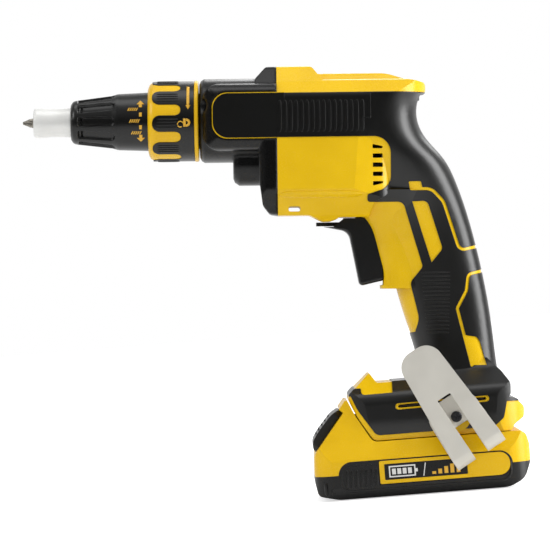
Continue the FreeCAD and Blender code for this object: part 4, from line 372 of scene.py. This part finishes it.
# %% [markdown]
# New pieces are grids of points. They could be drawn by hand in the editor, but arrays of points can be
# measured and repeated exactly. A grid becomes a mesh by joining each point to its neighbours, and
# several grids, such as the ribs of one pad, can share a mesh. Round pieces of the nose are written in
# the barrel's own measures: millimetres along its axis from the front of the gear case, a radius, and
# an angle that is zero towards the camera and grows upwards. The axis itself comes from the spindle's
# joint.

# %% Grids and the barrel's measures
MM = 0.001
joint = {j["name"]: j for j in frame["joints"]}
ORIGIN = np.array(joint["spindle_spin"]["pos_m"])
AXIS = np.array(joint["spindle_spin"]["axis"])
SIDE = np.array((0.0, -1.0, 0.0))
RISE = np.cross(SIDE, AXIS)
GRID_MERGE = 1.0e-7
GRID_CREASE = math.radians(40.0)


def on_barrel(x, radius, angle):
    """Points at a place along the barrel, a radius and an angle, in millimetres and radians: the radius times
    the cosine goes to the side, times the sine upwards."""
    x, radius, angle = np.broadcast_arrays(x, radius, angle)
    across = radius * np.cos(angle)
    above = radius * np.sin(angle)
    return ORIGIN + MM * (x[..., None] * AXIS + across[..., None] * SIDE + above[..., None] * RISE)


def in_barrel(x, y, z):
    """Points at x along the barrel, y to the tool's right and z above the axis, in millimetres."""
    x, y, z = np.broadcast_arrays(x, y, z)
    return ORIGIN + MM * (x[..., None] * AXIS - y[..., None] * SIDE + z[..., None] * RISE)


def quads_of(rows, columns, close_rows, close_columns):
    """Corner numbers of the faces between neighbouring points of a grid."""
    number = np.arange(rows * columns).reshape(rows, columns)
    if close_rows:
        number = np.vstack((number, number[:1]))
    if close_columns:
        number = np.hstack((number, number[:, :1]))
    corners = (number[:-1, :-1], number[:-1, 1:], number[1:, 1:], number[1:, :-1])
    return np.stack(corners, axis=-1).reshape(-1, 4)


def grid_piece(name, grids, finish, close_rows=False, close_columns=False, fill_ends=False):
    """One object from a list of grids. Filled ends close each grid's first and last row with a face."""
    mesh = bpy.data.meshes.new(name)
    points = np.concatenate([g.reshape(-1, 3) for g in grids])
    faces = []
    start = 0
    for g in grids:
        rows, columns = g.shape[:2]
        faces += (quads_of(rows, columns, close_rows, close_columns) + start).tolist()
        if fill_ends:
            faces.append((start + np.arange(columns)[::-1]).tolist())
            faces.append((start + (rows - 1) * columns + np.arange(columns)).tolist())
        start += rows * columns
    mesh.from_pydata(points.tolist(), [], faces)
    joined = bmesh.new()
    joined.from_mesh(mesh)
    bmesh.ops.remove_doubles(joined, verts=joined.verts, dist=GRID_MERGE)
    bmesh.ops.recalc_face_normals(joined, faces=joined.faces)
    joined.to_mesh(mesh)
    joined.free()
    mesh.shade_smooth()
    mesh.set_sharp_from_angle(angle=GRID_CREASE)
    mesh.materials.append(finish)
    piece = bpy.data.objects.new(name, mesh)
    bpy.context.scene.collection.objects.link(piece)
    return piece


def smooth_step(value):
    """0 below 0, 1 above 1, and between them a soft S, three squares less two cubes."""
    t = np.clip(value, 0.0, 1.0)
    return t * t * (3.0 - 2.0 * t)


def spaced(profile, step):
    """A profile's points with further points between them, about a step apart, its corners kept."""
    profile = np.asarray(profile, float)
    spans = np.hypot(*np.diff(profile, axis=0).T)
    counts = np.maximum(np.ceil(spans / step).astype(int), 1)
    at = np.concatenate([i + np.arange(n) / n for i, n in enumerate(counts)] + [[len(profile) - 1]])
    whole = np.arange(len(profile))
    return np.stack((np.interp(at, whole, profile[:, 0]), np.interp(at, whole, profile[:, 1])), axis=-1)


print("barrel: from", ORIGIN.round(4).tolist(), "along", AXIS.round(4).tolist())

# %% [markdown]
# The depth adjuster is the fluted black cone that the fingers turn. Its outer skin is a turned profile
# from which ten long flutes are taken away: at each point the depth depends on how far it lies inside
# the flute's outline, a strip with a round rear end. Ten Boolean cuts could do this as well, but they
# leave thin triangles, and a depth worked out for each point leaves an even grid with soft edges. The
# inside of the profile is plain, with room for the locator's lugs.

# %% The depth adjuster
ADJUSTER_OUTSIDE = ((-68.6, 9.2), (-68.2, 10.0), (-67.4, 11.0), (-66.4, 11.5), (-65.0, 11.75),
                    (-46.6, 14.0), (-44.0, 14.8), (-43.0, 14.95), (-29.2, 15.5), (-26.2, 15.7))
ADJUSTER_INSIDE = ((-26.2, 9.75), (-39.0, 9.75), (-39.0, 10.7), (-63.0, 10.7), (-63.0, 8.05),
                   (-68.6, 8.05), (-68.6, 9.2))
OUTSIDE_STEP = 0.35
INSIDE_STEP = 4.0
POINTS_AROUND = 360
FLUTES = 10
FLUTE_HALF = 2.7
FLUTE_FRONT = -65.0
FLUTE_REAR = -47.6
FLUTE_DEPTH = 1.35
FLUTE_EDGE = 0.7
FLUTE_FADE = 1.2

outside = spaced(ADJUSTER_OUTSIDE, OUTSIDE_STEP)
inside = spaced(ADJUSTER_INSIDE, INSIDE_STEP)[1:-1]
angle = np.linspace(0.0, 2 * math.pi, POINTS_AROUND, endpoint=False)
pitch = 2 * math.pi / FLUTES
x = outside[:, :1]
radius = outside[:, 1:]
around = radius * ((angle + pitch / 2) % pitch - pitch / 2)
past = np.maximum(x - FLUTE_REAR, 0.0)
into_flute = FLUTE_HALF - np.hypot(past, around)
fade = smooth_step((x - FLUTE_FRONT) / FLUTE_FADE)
carved = radius - FLUTE_DEPTH * smooth_step(into_flute / FLUTE_EDGE) * fade
skin = on_barrel(x, carved, angle)
bore = on_barrel(inside[:, :1], inside[:, 1:], angle)
shell = np.concatenate((skin, bore))
adjuster = grid_piece("adjuster_skin", [shell], FINISHES["adjuster_black"], True, True)
own(adjuster, "depth_adjuster")
print("adjuster:", FLUTES, "flutes,", len(adjuster.data.polygons), "faces")

# %% [markdown]
# Signs are printed on the nose in yellow. They are generic ones: arrowheads and rows of ticks for more
# or less depth, an arrow for the way the ring turns, and an open padlock. An image could be laid on the
# surface, but strips of geometry stay sharp from close by. Each sign is made of ribbons, flat strips
# that follow a line on the round surface, a few hundredths of a millimetre above it.

# %% Printed signs
SIGN_LIFT = 0.05
SIGN_THICK = 0.04e-3
STRIP_POINTS = 12
BOW_POINTS = 24


def ribbon(line, width, radius):
    """A strip along a line of (x, arc length) points on a round surface: at each point it reaches half its
    width to both sides, square to the line."""
    line = np.asarray(line, float)
    width = np.broadcast_to(width, len(line))
    along = np.gradient(line, axis=0)
    along /= np.maximum(np.hypot(along[:, 0], along[:, 1]), 1.0e-9)[:, None]
    left = np.stack((-along[:, 1], along[:, 0]), axis=-1)
    across = np.linspace(-0.5, 0.5, 5)
    spot = line[:, None, :] + left[:, None, :] * (across * width[:, None])[..., None]
    return on_barrel(spot[..., 0], radius(spot[..., 0]) + SIGN_LIFT, spot[..., 1] / radius(spot[..., 0]))


def straight(start, end, count=STRIP_POINTS):
    """Evenly spaced points from start to end."""
    return np.linspace(start, end, count)


def bow(centre, reach, first, last):
    """An arc of a circle about a centre, from one angle to another, in degrees."""
    turn = np.radians(np.linspace(first, last, BOW_POINTS))
    return np.stack((centre[0] + reach * np.cos(turn), centre[1] + reach * np.sin(turn)), axis=-1)


def sign(name, ribbons, finish, body):
    """One printed piece of many ribbons, thickened outwards by the ink."""
    piece = grid_piece(name, ribbons, finish)
    ink = piece.modifiers.new("ink", "SOLIDIFY")
    ink.thickness = SIGN_THICK
    ink.offset = 1.0
    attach(piece, body)
    return piece


def adjuster_radius(x):
    """The radius of the adjuster's plain profile at a place along the barrel."""
    return np.interp(x, *np.array(ADJUSTER_OUTSIDE).T)


SCALE_X = -31.2
SCALE_REACH = 12.0
HEAD_LENGTH = 2.6
HEAD_WIDTH = 4.4
STEM_END = 4.4
STEM_WIDTH = 1.7
DASH_AT = 3.4
DASH_HALF = 1.1
DASH_WIDTH = 1.5
TICK_LEVELS = (6.4, 0.0, -6.4)
TICKS = 5
TICK_FIRST = -6.3
TICK_PITCH = 1.1
TICK_SHIFT = 0.9
TICK_WIDTH = 0.55
TICK_HALF = np.array((0.45, 0.9))
SHARP = 0.05


def depth_scale():
    """Two arrows and a dash behind each, mirrored about the middle, and three rows of slanted ticks, each
    row shifted along the barrel from the one before."""
    strips = []
    for way in (1.0, -1.0):
        tip = (SCALE_X, way * SCALE_REACH)
        neck = (SCALE_X, way * (SCALE_REACH - HEAD_LENGTH))
        foot = (SCALE_X, way * (SCALE_REACH - STEM_END))
        widths = np.linspace(SHARP, HEAD_WIDTH, STRIP_POINTS)
        strips.append(ribbon(straight(tip, neck), widths, adjuster_radius))
        strips.append(ribbon(straight(neck, foot), STEM_WIDTH, adjuster_radius))
        dash = straight((SCALE_X, way * DASH_AT - DASH_HALF), (SCALE_X, way * DASH_AT + DASH_HALF))
        strips.append(ribbon(dash, DASH_WIDTH, adjuster_radius))
    for row, level in enumerate(TICK_LEVELS):
        for i in range(TICKS):
            middle = np.array((SCALE_X + TICK_FIRST + TICK_PITCH * i + TICK_SHIFT * row, level))
            tick = straight(middle - TICK_HALF, middle + TICK_HALF)
            strips.append(ribbon(tick, TICK_WIDTH, adjuster_radius))
    return strips


yellow_ink = moulded("yellow_ink", (224, 170, 40), (236, 184, 58), (0.4, 0.5), 1500.0, 0.5e-5, 0.0001)
depth_strips = depth_scale()
sign("depth_signs", depth_strips, yellow_ink, body_of["depth_adjuster"])
print("signs on the adjuster:", len(depth_strips), "strips")

# %% [markdown]
# The lock ring's black band carries two more signs: a thin arrow that shows the way to turn, and a
# padlock with its shackle open, lying on its side. They are ribbons too, on a round surface of one
# radius.

# %% Signs on the lock ring
RING_SKIN = 21.32
ARROW_X = -5.9
ARROW_ARCS = (21.2, 8.0, 5.6)
ARROW_STEM = 1.5
ARROW_HEAD = 2.7
LOCK_ARC = -1.4
LOCK_FLAT = (-8.5, -7.1)
LOCK_DEPTH = 4.4
LOCK_BOW_X = -6.9
LOCK_BOW_REACH = 1.55
LOCK_BOW_WIDTH = 1.3
CATCH_X = -7.1
CATCH_ARCS = (-2.9, -3.5)
CATCH_WIDTH = 0.5
CATCH_POINTS = 4
SHACKLE_AT = (-10.0, -2.2)
SHACKLE_REACH = 1.5
SHACKLE_TURN = (20.0, 300.0)
SHACKLE_WIDTH = 0.55


def ring_radius(x):
    """The ring's radius, the same at every place."""
    return np.full(np.shape(x), RING_SKIN)


def ring_signs():
    """An arrow along the ring's turn, and a padlock: a flat strip and a bow as its body, a short catch and
    an open arc as its shackle."""
    tail, neck, tip = [(ARROW_X, arc) for arc in ARROW_ARCS]
    strips = [ribbon(straight(tail, neck), ARROW_STEM, ring_radius)]
    widths = np.linspace(ARROW_HEAD, SHARP, STRIP_POINTS)
    strips.append(ribbon(straight(neck, tip), widths, ring_radius))
    flat = straight(*[(x, LOCK_ARC) for x in LOCK_FLAT])
    strips.append(ribbon(flat, LOCK_DEPTH, ring_radius))
    half_round = bow((LOCK_BOW_X, LOCK_ARC), LOCK_BOW_REACH, -90.0, 90.0)
    strips.append(ribbon(half_round, LOCK_BOW_WIDTH, ring_radius))
    catch = straight(*[(CATCH_X, arc) for arc in CATCH_ARCS], CATCH_POINTS)
    strips.append(ribbon(catch, CATCH_WIDTH, ring_radius))
    shackle = bow(SHACKLE_AT, SHACKLE_REACH, *SHACKLE_TURN)
    strips.append(ribbon(shackle, SHACKLE_WIDTH, ring_radius))
    return strips


ring_strips = ring_signs()
sign("ring_signs", ring_strips, yellow_ink, body_of["lock_ring"])
print("signs on the ring:", len(ring_strips), "strips")

# %% [markdown]
# Ribs. The pads, panels and grips of such a tool carry rows of fine ribs. A bump in the material could
# hint at them, but only real shapes show at an outline and in the exported mesh. Each rib is a long
# bead: an ellipse carried along a line, rounded off at both ends and half sunk in the surface that it
# stands on. A place function turns a point along, across and above that surface into a point of the
# tool, so one bead function serves the round ring, the flat battery and the curved rubber.

# %% Beads along a line
BEAD_ROWS = 18
BEAD_SIDES = 10


def bead(start, end, half, rise, place):
    """An ellipse of a half width and a rise, carried from start to end. Both shrink towards the ends by the
    root of one less the sixth power of the way from the middle."""
    start = np.asarray(start, float)
    end = np.asarray(end, float)
    run = np.sin(np.linspace(-math.pi / 2, math.pi / 2, BEAD_ROWS))
    swell = np.sqrt(np.maximum(1.0 - run ** 6, 0.0))[:, None]
    turn = np.linspace(0.0, 2 * math.pi, BEAD_SIDES, endpoint=False)
    along = (end - start) / np.hypot(*(end - start))
    line = (start + end) / 2 + run[:, None] * (end - start) / 2
    sideways = half * swell * np.cos(turn)
    first = line[:, :1] - along[1] * sideways
    second = line[:, 1:] + along[0] * sideways
    return place(first, second, rise * swell * np.sin(turn))


def ribs(name, beads, finish, body):
    """One piece of many beads, on a body and in a slot."""
    piece = grid_piece(name, beads, finish, False, True)
    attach(piece, body)
    return piece

# %% [markdown]
# Each of the ring's nine soft pads has four ribs along the barrel, for the fingers. An Array modifier
# turned by an empty could repeat them, but the place function already knows the way round.

# %% Ribs on the lock ring's pads
RING_PADS = 9
RING_FIRST_PAD = math.radians(15.0)
PAD_RIBS = 4
PAD_RIB_PITCH = 1.5
PAD_RIB_ENDS = (-22.6, -11.0)
PAD_RIB_HALF = 0.42
PAD_RIB_RISE = 0.3


def on_ring(x, arc, lift):
    """A place function on the ring: along the barrel, an arc length around it, and out."""
    return on_barrel(x, RING_SKIN + lift, arc / RING_SKIN)


pad_beads = []
for pad in range(RING_PADS):
    middle = RING_SKIN * (math.pi / 2 - RING_FIRST_PAD - 2 * math.pi * pad / RING_PADS)
    for arc in middle + PAD_RIB_PITCH * (np.arange(PAD_RIBS) - (PAD_RIBS - 1) / 2):
        front, rear = [(x, arc) for x in PAD_RIB_ENDS]
        pad_beads.append(bead(front, rear, PAD_RIB_HALF, PAD_RIB_RISE, on_ring))
ribs("ring_pad_ribs", pad_beads, FINISHES["adjuster_black"], body_of["lock_ring"])
print("ring pads:", len(pad_beads), "ribs")

# %% [markdown]
# The battery's black lower case has a ribbed field in front of the label on each side, with short
# dashes above it. Both sides are the same. A Mirror modifier could make the second, but each rib is
# simply made for both sides, which keeps all faces the right way out.

# %% Ribs on the battery
PACK_SKIN = 38.2
PACK_RIBS = 7
PACK_RIB_FIRST = -38.6
PACK_RIB_PITCH = 2.6
PACK_RIB_LOW = 5.6
PACK_RIB_HIGH = 15.6
PACK_RIB_HALF = 0.75
PACK_RIB_RISE = 0.55
PACK_DASHES = 4
PACK_DASH_FIRST = PACK_RIB_FIRST + 1.2
PACK_DASH_PITCH = 3.6
PACK_DASH_REACH = 1.1
PACK_DASH_Z = 17.6
PACK_DASH_HALF = 0.4
PACK_DASH_RISE = 0.3


def pack_side(side):
    """A place function for the battery's left (-1) or right (+1) side: along X, up Z and out."""
    def place(x, z, lift):
        x, z, lift = np.broadcast_arrays(x, z, lift)
        return MM * np.stack((x, side * (PACK_SKIN + lift), z), axis=-1)
    return place


pack_beads = []
for side in (-1.0, 1.0):
    place = pack_side(side)
    for i in range(PACK_RIBS):
        x = PACK_RIB_FIRST + PACK_RIB_PITCH * i
        ends = ((x, PACK_RIB_LOW), (x, PACK_RIB_HIGH))
        pack_beads.append(bead(*ends, PACK_RIB_HALF, PACK_RIB_RISE, place))
    for i in range(PACK_DASHES):
        x = PACK_DASH_FIRST + PACK_DASH_PITCH * i
        ends = ((x - PACK_DASH_REACH, PACK_DASH_Z), (x + PACK_DASH_REACH, PACK_DASH_Z))
        pack_beads.append(bead(*ends, PACK_DASH_HALF, PACK_DASH_RISE, place))
ribs("battery_ribs", pack_beads, FINISHES["pack_black"], body_of["battery_lower_case"])
print("battery:", len(pack_beads), "ribs and dashes")

# %% [markdown]
# The label on each side of the battery is a yellow frame round a black field, with a plain yellow end.
# It could be cut from a sheet, but a frame is a ring between two rounded outlines with the same number
# of points, so it is a grid of four closed rows: the outer edge below and above, then the inner edge
# above and below.

# %% The battery's labels
LABEL_OUTER = ((-21.5, 7.0), (47.1, 19.1), (0.9, 5.8, 5.8, 0.9))
LABEL_INNER = ((-18.9, 8.9), (24.6, 17.3), (0.5, 0.5, 0.5, 0.5))
LABEL_LOW = 0.02
LABEL_HIGH = 0.34
CORNER_STEPS = 9


def rounded(low, high, radii):
    """A rounded rectangle as points: a quarter circle at each corner, from the lower left one round to the
    upper left one."""
    turn = np.linspace(0.0, math.pi / 2, CORNER_STEPS)
    centres = ((low[0] + radii[0], low[1] + radii[0]), (high[0] - radii[1], low[1] + radii[1]),
               (high[0] - radii[2], high[1] - radii[2]), (low[0] + radii[3], high[1] - radii[3]))
    arcs = []
    for corner, (centre, radius) in enumerate(zip(centres, radii)):
        angle = turn + math.pi + corner * math.pi / 2
        across = centre[0] + radius * np.cos(angle)
        above = centre[1] + radius * np.sin(angle)
        arcs.append(np.stack((across, above), axis=-1))
    return np.concatenate(arcs)


def label_frame(side):
    """The four closed rows of one frame, on the left (-1) or right (+1) side."""
    outer = rounded(*LABEL_OUTER)
    inner = rounded(*LABEL_INNER)
    place = pack_side(side)
    rows = [place(outer[:, 0], outer[:, 1], LABEL_LOW), place(outer[:, 0], outer[:, 1], LABEL_HIGH),
            place(inner[:, 0], inner[:, 1], LABEL_HIGH), place(inner[:, 0], inner[:, 1], LABEL_LOW)]
    return np.stack(rows)


both_frames = [label_frame(-1.0), label_frame(1.0)]
frames = grid_piece("label_frames", both_frames, FINISHES["pack_yellow"], True, True)
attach(frames, body_of["battery_side_plates"])
print("labels:", len(frames.data.polygons), "faces")

# %% [markdown]
# The black fields hold a generic sign: the outline of a cell with its charge as bars, a slanted stroke
# and a row of rising bars. Each is a thin slab, a grid of two rows with its ends filled, which stays
# sharp where an image would blur. On the right side the sign is turned round in its field, so that it
# reads the same way from there.

# %% Charge bars on the labels
SLAB_LIFTS = (0.1, 0.2)
CELL_OUTLINE = ((-16.6, -2.6, 10.1, 10.8), (-16.6, -2.6, 15.4, 16.1), (-16.6, -15.9, 10.8, 15.4),
                (-3.3, -2.6, 10.8, 15.4), (-2.6, -1.5, 12.2, 14.0))
CHARGE_BARS = 4
CHARGE_FIRST = (-15.0, -13.0)
CHARGE_PITCH = 2.8
CHARGE_LEVELS = (11.6, 14.6)
STROKE = (1.2, 1.7, 9.7, 16.5)
STROKE_LEAN = 1.3
LEVEL_BARS = 5
LEVEL_FIRST = (6.0, 8.0)
LEVEL_PITCH = 3.2
LEVEL_LOW = 10.2
LEVEL_HIGH = 11.6
LEVEL_GROWTH = 1.1


def in_label(side):
    """A place function for the label's field. On the right side x is mirrored about the field's middle."""
    beside = pack_side(side)
    ends = LABEL_INNER[0][0] + LABEL_INNER[1][0]

    def place(x, z, lift):
        return beside(np.where(side > 0, ends - x, x), z, lift)
    return place


def slab(corners, place):
    """A thin slab over four corner points, as a low and a high row of them."""
    corners = np.asarray(corners, float)
    return np.stack([place(corners[:, 0], corners[:, 1], lift) for lift in SLAB_LIFTS])


def upright(x0, x1, z0, z1, lean=0.0):
    """The corners of a bar, its top moved along X by the lean."""
    return ((x0, z0), (x1, z0), (x1 + lean, z1), (x0 + lean, z1))


white_bars = []
yellow_bars = []
for side in (-1.0, 1.0):
    place = in_label(side)
    for bar in CELL_OUTLINE:
        white_bars.append(slab(upright(*bar), place))
    for i in range(CHARGE_BARS):
        ends = [x + CHARGE_PITCH * i for x in CHARGE_FIRST]
        white_bars.append(slab(upright(*ends, *CHARGE_LEVELS), place))
    white_bars.append(slab(upright(*STROKE, STROKE_LEAN), place))
    for i in range(LEVEL_BARS):
        ends = [x + LEVEL_PITCH * i for x in LEVEL_FIRST]
        yellow_bars.append(slab(upright(*ends, LEVEL_LOW, LEVEL_HIGH + LEVEL_GROWTH * i), place))
white_ink = moulded("white_ink", (224, 224, 222), (232, 232, 230), (0.35, 0.45), 1500.0, 0.4e-5, 0.0001)
label_signs = (("charge_outline", white_bars, white_ink), ("level_bars", yellow_bars, yellow_ink))
for name, bars, ink in label_signs:
    piece = grid_piece(name, bars, ink, False, True, True)
    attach(piece, body_of["battery_side_plates"])
print("label bars:", len(white_bars) + len(yellow_bars))

# %% [markdown]
# The rubber has fine ribs where the hand holds it: upright ones on the band along the barrel, and level
# ones on the palm. They follow the rubber's own curved skin, which no simple formula gives. To find it,
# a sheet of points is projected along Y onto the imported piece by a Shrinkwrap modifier, and the result
# is read back as one array.

# %% Ribs on the rubber
PROBE_START = 0.2
PROBE_MISS = 0.99


def laid_on(node, points, side):
    """Points moved along Y onto a node's skin, seen from the tool's left (-1) or right (+1).

    A point that meets no skin, such as one over a hole, takes the middle depth of the others.
    """
    flat = points.reshape(-1, 3).copy()
    flat[:, 1] = side * PROBE_START
    mesh = bpy.data.meshes.new("probe")
    mesh.from_pydata(flat.tolist(), [], [])
    probe = bpy.data.objects.new("probe", mesh)
    bpy.context.scene.collection.objects.link(probe)
    wrap = probe.modifiers.new("wrap", "SHRINKWRAP")
    wrap.target = nodes[node]
    wrap.wrap_method = "PROJECT"
    wrap.use_project_y = True
    wrap.use_positive_direction = side < 0
    wrap.use_negative_direction = side > 0
    found = probe.evaluated_get(bpy.context.evaluated_depsgraph_get()).data
    spots = np.empty(flat.size)
    found.vertices.foreach_get("co", spots)
    bpy.data.objects.remove(probe)
    bpy.data.meshes.remove(mesh)
    spots = spots.reshape(-1, 3)
    missed = np.abs(spots[:, 1]) > PROBE_MISS * PROBE_START
    spots[missed, 1] = np.median(spots[~missed, 1])
    return spots.reshape(points.shape)


def along_skin(node, side):
    """A place function on a piece's skin: along the barrel, above its axis, and out along Y by the lift."""
    def place(x, z, lift):
        x, z, lift = np.broadcast_arrays(x, z, lift)
        skin = laid_on(node, in_barrel(x, 0.0, z), side)
        skin[..., 1] += side * MM * lift
        return skin
    return place


BAND_RIBS = 16
BAND_FIRST = 42.5
BAND_PITCH = 2.9
BAND_LOW = -7.4
BAND_HIGH = 9.6
BAND_HALF = 1.0
BAND_RISE = 0.11
PALM_LINES = 17
PALM_TOP = -82.0
PALM_PITCH = 2.0
PALM_MIDDLE = 124.0
PALM_DRIFT = 0.05
PALM_REACH = 7.8
PALM_TAPER = 0.12
PALM_HALF = 0.5
PALM_RISE = 0.2

for node, side in (("left_grip", -1.0), ("right_grip", 1.0)):
    place = along_skin(node, side)
    lines = []
    for i in range(BAND_RIBS):
        x = BAND_FIRST + BAND_PITCH * i
        lines.append(bead((x, BAND_LOW), (x, BAND_HIGH), BAND_HALF, BAND_RISE, place))
    for i in range(PALM_LINES):
        z = PALM_TOP - PALM_PITCH * i
        middle = PALM_MIDDLE + PALM_DRIFT * i
        reach = PALM_REACH - PALM_TAPER * i
        lines.append(bead((middle - reach, z), (middle + reach, z), PALM_HALF, PALM_RISE, place))
    ribs(node + "_ribs", lines, FINISHES["grip_black"], body_of[node])
print("rubber ribs on each side:", len(lines))

# %% [markdown]
# Small forms of the moulded shells: a black bar in the slot along the foot, which paints the shade
# inside the slot, the ridge under the motor's panel that catches the light, the rail below the battery's
# ribs, and an upright bar and a short stud at the battery's front corner. They are beads too, laid on the
# skin they stand on. The ridge lies along the barrel, the others are in the measures of the whole tool.
# The rail is a bead along a bent line: at each point the ellipse stands across the line there. Each row
# below gives a bead's two ends, its half width and its rise.

# %% Bars and ridges on the shells
# Painted shade: the bar in the foot's slot is black rubber laid in the slot, standing for the shadow inside it.
SLOT_SHADE_BAR = ((-9.3, 46.7), (37.8, 47.3), 1.0, 0.3)
PANEL_RIDGE = ((41.6, -40.3), (86.0, -40.3), 1.8, 1.0)
CORNER_BAR = ((-50.2, 3.2), (-50.2, 9.8), 0.9, 0.8)
CORNER_STUD = ((-46.6, 2.6), (-46.6, 5.6), 0.7, 0.7)
RAIL_LOW = (-41.6, 4.2)
RAIL_END = 47.2
RAIL_TOP = 14.0
RAIL_RADIUS = 5.0
RAIL_HALF = 0.75
RAIL_RISE = 0.5
RAIL_STEP = 1.2
RAIL_TURN_POINTS = 12


def on_shell(node, side):
    """A place function on a piece's skin: along X and up Z of the whole tool, and out along Y."""
    def place(x, z, lift):
        x, z, lift = np.broadcast_arrays(x, z, lift)
        skin = laid_on(node, MM * np.stack((x, np.zeros_like(x), z), axis=-1), side)
        skin[..., 1] += side * MM * lift
        return skin
    return place


def rail(line, half, rise, place):
    """An ellipse of a half width and a rise, carried along a line of many points and set across it."""
    line = np.asarray(line, float)
    along = np.gradient(line, axis=0)
    along /= np.hypot(along[:, 0], along[:, 1])[:, None]
    turn = np.linspace(0.0, 2 * math.pi, BEAD_SIDES, endpoint=False)
    sideways = half * np.cos(turn)
    first = line[:, :1] - along[:, 1:] * sideways
    second = line[:, 1:] + along[:, :1] * sideways
    return place(first, second, np.broadcast_to(rise * np.sin(turn), first.shape))


def cradle(low, end, top, radius):
    """A line down from the top, round a quarter circle, along the bottom and up again at the end."""
    turn = np.linspace(0.0, math.pi / 2, RAIL_TURN_POINTS)[:, None]
    level = low[1] + radius
    down = np.array((low[0] + radius, level)) - radius * np.hstack((np.cos(turn), np.sin(turn)))
    rise = np.array((end - radius, level)) + radius * np.hstack((np.sin(turn), -np.cos(turn)))
    return spaced(np.vstack(((low[0], top), down, rise, (end, top))), RAIL_STEP)


rail_line = cradle(RAIL_LOW, RAIL_END, RAIL_TOP, RAIL_RADIUS)
slot_shade_bars = []
ridges = []
corner_bars = []
for node, side in (("left_housing", -1.0), ("right_housing", 1.0)):
    slot_shade_bars.append(bead(*SLOT_SHADE_BAR, on_shell(node, side)))
    ridges.append(bead(*PANEL_RIDGE, along_skin(node, side)))
    on_pack = on_shell("battery_lower_case", side)
    corner_bars.append(rail(rail_line, RAIL_HALF, RAIL_RISE, on_pack))
    corner_bars.append(bead(*CORNER_BAR, on_pack))
    corner_bars.append(bead(*CORNER_STUD, on_pack))
ribs("slot_shade_bars", slot_shade_bars, FINISHES["grip_black"], body_of["left_housing"])
ribs("panel_ridges", ridges, FINISHES["housing_yellow"], body_of["left_housing"])
ribs("corner_bars", corner_bars, FINISHES["pack_black"], body_of["battery_lower_case"])
print("bars and ridges:", len(slot_shade_bars) + len(ridges) + len(corner_bars))

# %% [markdown]
# The belt hook is sheet steel folded to a U with two legs. Its inner leaf is notched up to the screw,
# so that the shell shows between the legs. The whole hook could be drawn anew, but one straight notch
# is quickly cut from a dressed copy of it by a plain block, which is then removed.

# %% The belt hook
HOOK_LEAN = math.radians(29.2)
NOTCH_X = (-3.95, 3.95)
NOTCH_Y = (-42.4, -38.0)
NOTCH_Z = (-15.6, -4.6)


def box_of(node):
    """The lowest and highest corner of a node."""
    corners = np.array(nodes[node].bound_box)
    return corners.min(axis=0), corners.max(axis=0)


def in_hook(x, y, z):
    """Points in the hook's own measures: x across and z up along its leaning plate, both from the screw,
    and y of the whole tool."""
    middle = np.mean(box_of("belt_hook_screw"), axis=0)
    across = np.array((math.cos(HOOK_LEAN), 0.0, math.sin(HOOK_LEAN)))
    up = np.array((-math.sin(HOOK_LEAN), 0.0, math.cos(HOOK_LEAN)))
    x, y, z = np.broadcast_arrays(x, y, z)
    points = MM * (x[..., None] * across + z[..., None] * up) + middle
    points[..., 1] = MM * y
    return points


corners_x = np.array((NOTCH_X[0], NOTCH_X[1], NOTCH_X[1], NOTCH_X[0]))
corners_z = np.array((NOTCH_Z[0], NOTCH_Z[0], NOTCH_Z[1], NOTCH_Z[1]))
block_rows = in_hook(corners_x, np.array(NOTCH_Y)[:, None], corners_z)
block = grid_piece("block", [block_rows], FINISHES["hook_steel"], False, True, True)
hook = dressed("belt_hook")
notch = hook.modifiers.new("notch", "BOOLEAN")
notch.operation = "DIFFERENCE"
notch.object = block
cut = bpy.data.meshes.new_from_object(hook.evaluated_get(bpy.context.evaluated_depsgraph_get()))
hook.modifiers.remove(notch)
hook.data = cut
bpy.data.objects.remove(block)
print("belt hook:", len(cut.polygons), "faces")

# %% [markdown]
# The three return springs stand between a fixed seat and a piece that slides. Each gets a dressed copy
# with a mesh of its own, and its length along its slide is measured and printed.

# %% Return springs
def return_spring(node, slide):
    """A dressed copy of a spring, with a mesh of its own. It returns the spring's length along the slide's
    axis."""
    piece = dressed(node)
    axis = np.array(joint[slide]["axis"])
    points = np.empty(3 * len(piece.data.vertices))
    piece.data.vertices.foreach_get("co", points)
    points = points.reshape(-1, 3)
    reach = points @ axis
    length = np.ptp(reach)
    travel = max(joint[slide]["range_m"])
    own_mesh(piece)
    return length


for node, slide in (("clutch_spring", "spindle_push"), ("trigger_spring", "trigger_pull"),
                    ("release_spring", "release_press")):
    print(node, "is", round(1000 * return_spring(node, slide), 2), "mm long")

# %% [markdown]
# Every piece of the frame gets the finish of its slot. Setting it here, in one place, keeps the pieces
# of a slot alike.

# %% Finishes of the frame's own pieces
for name, piece in nodes.items():
    piece.data.materials.clear()
    piece.data.materials.append(FINISHES[slot_of[name]])
print("finished:", len(nodes), "nodes")
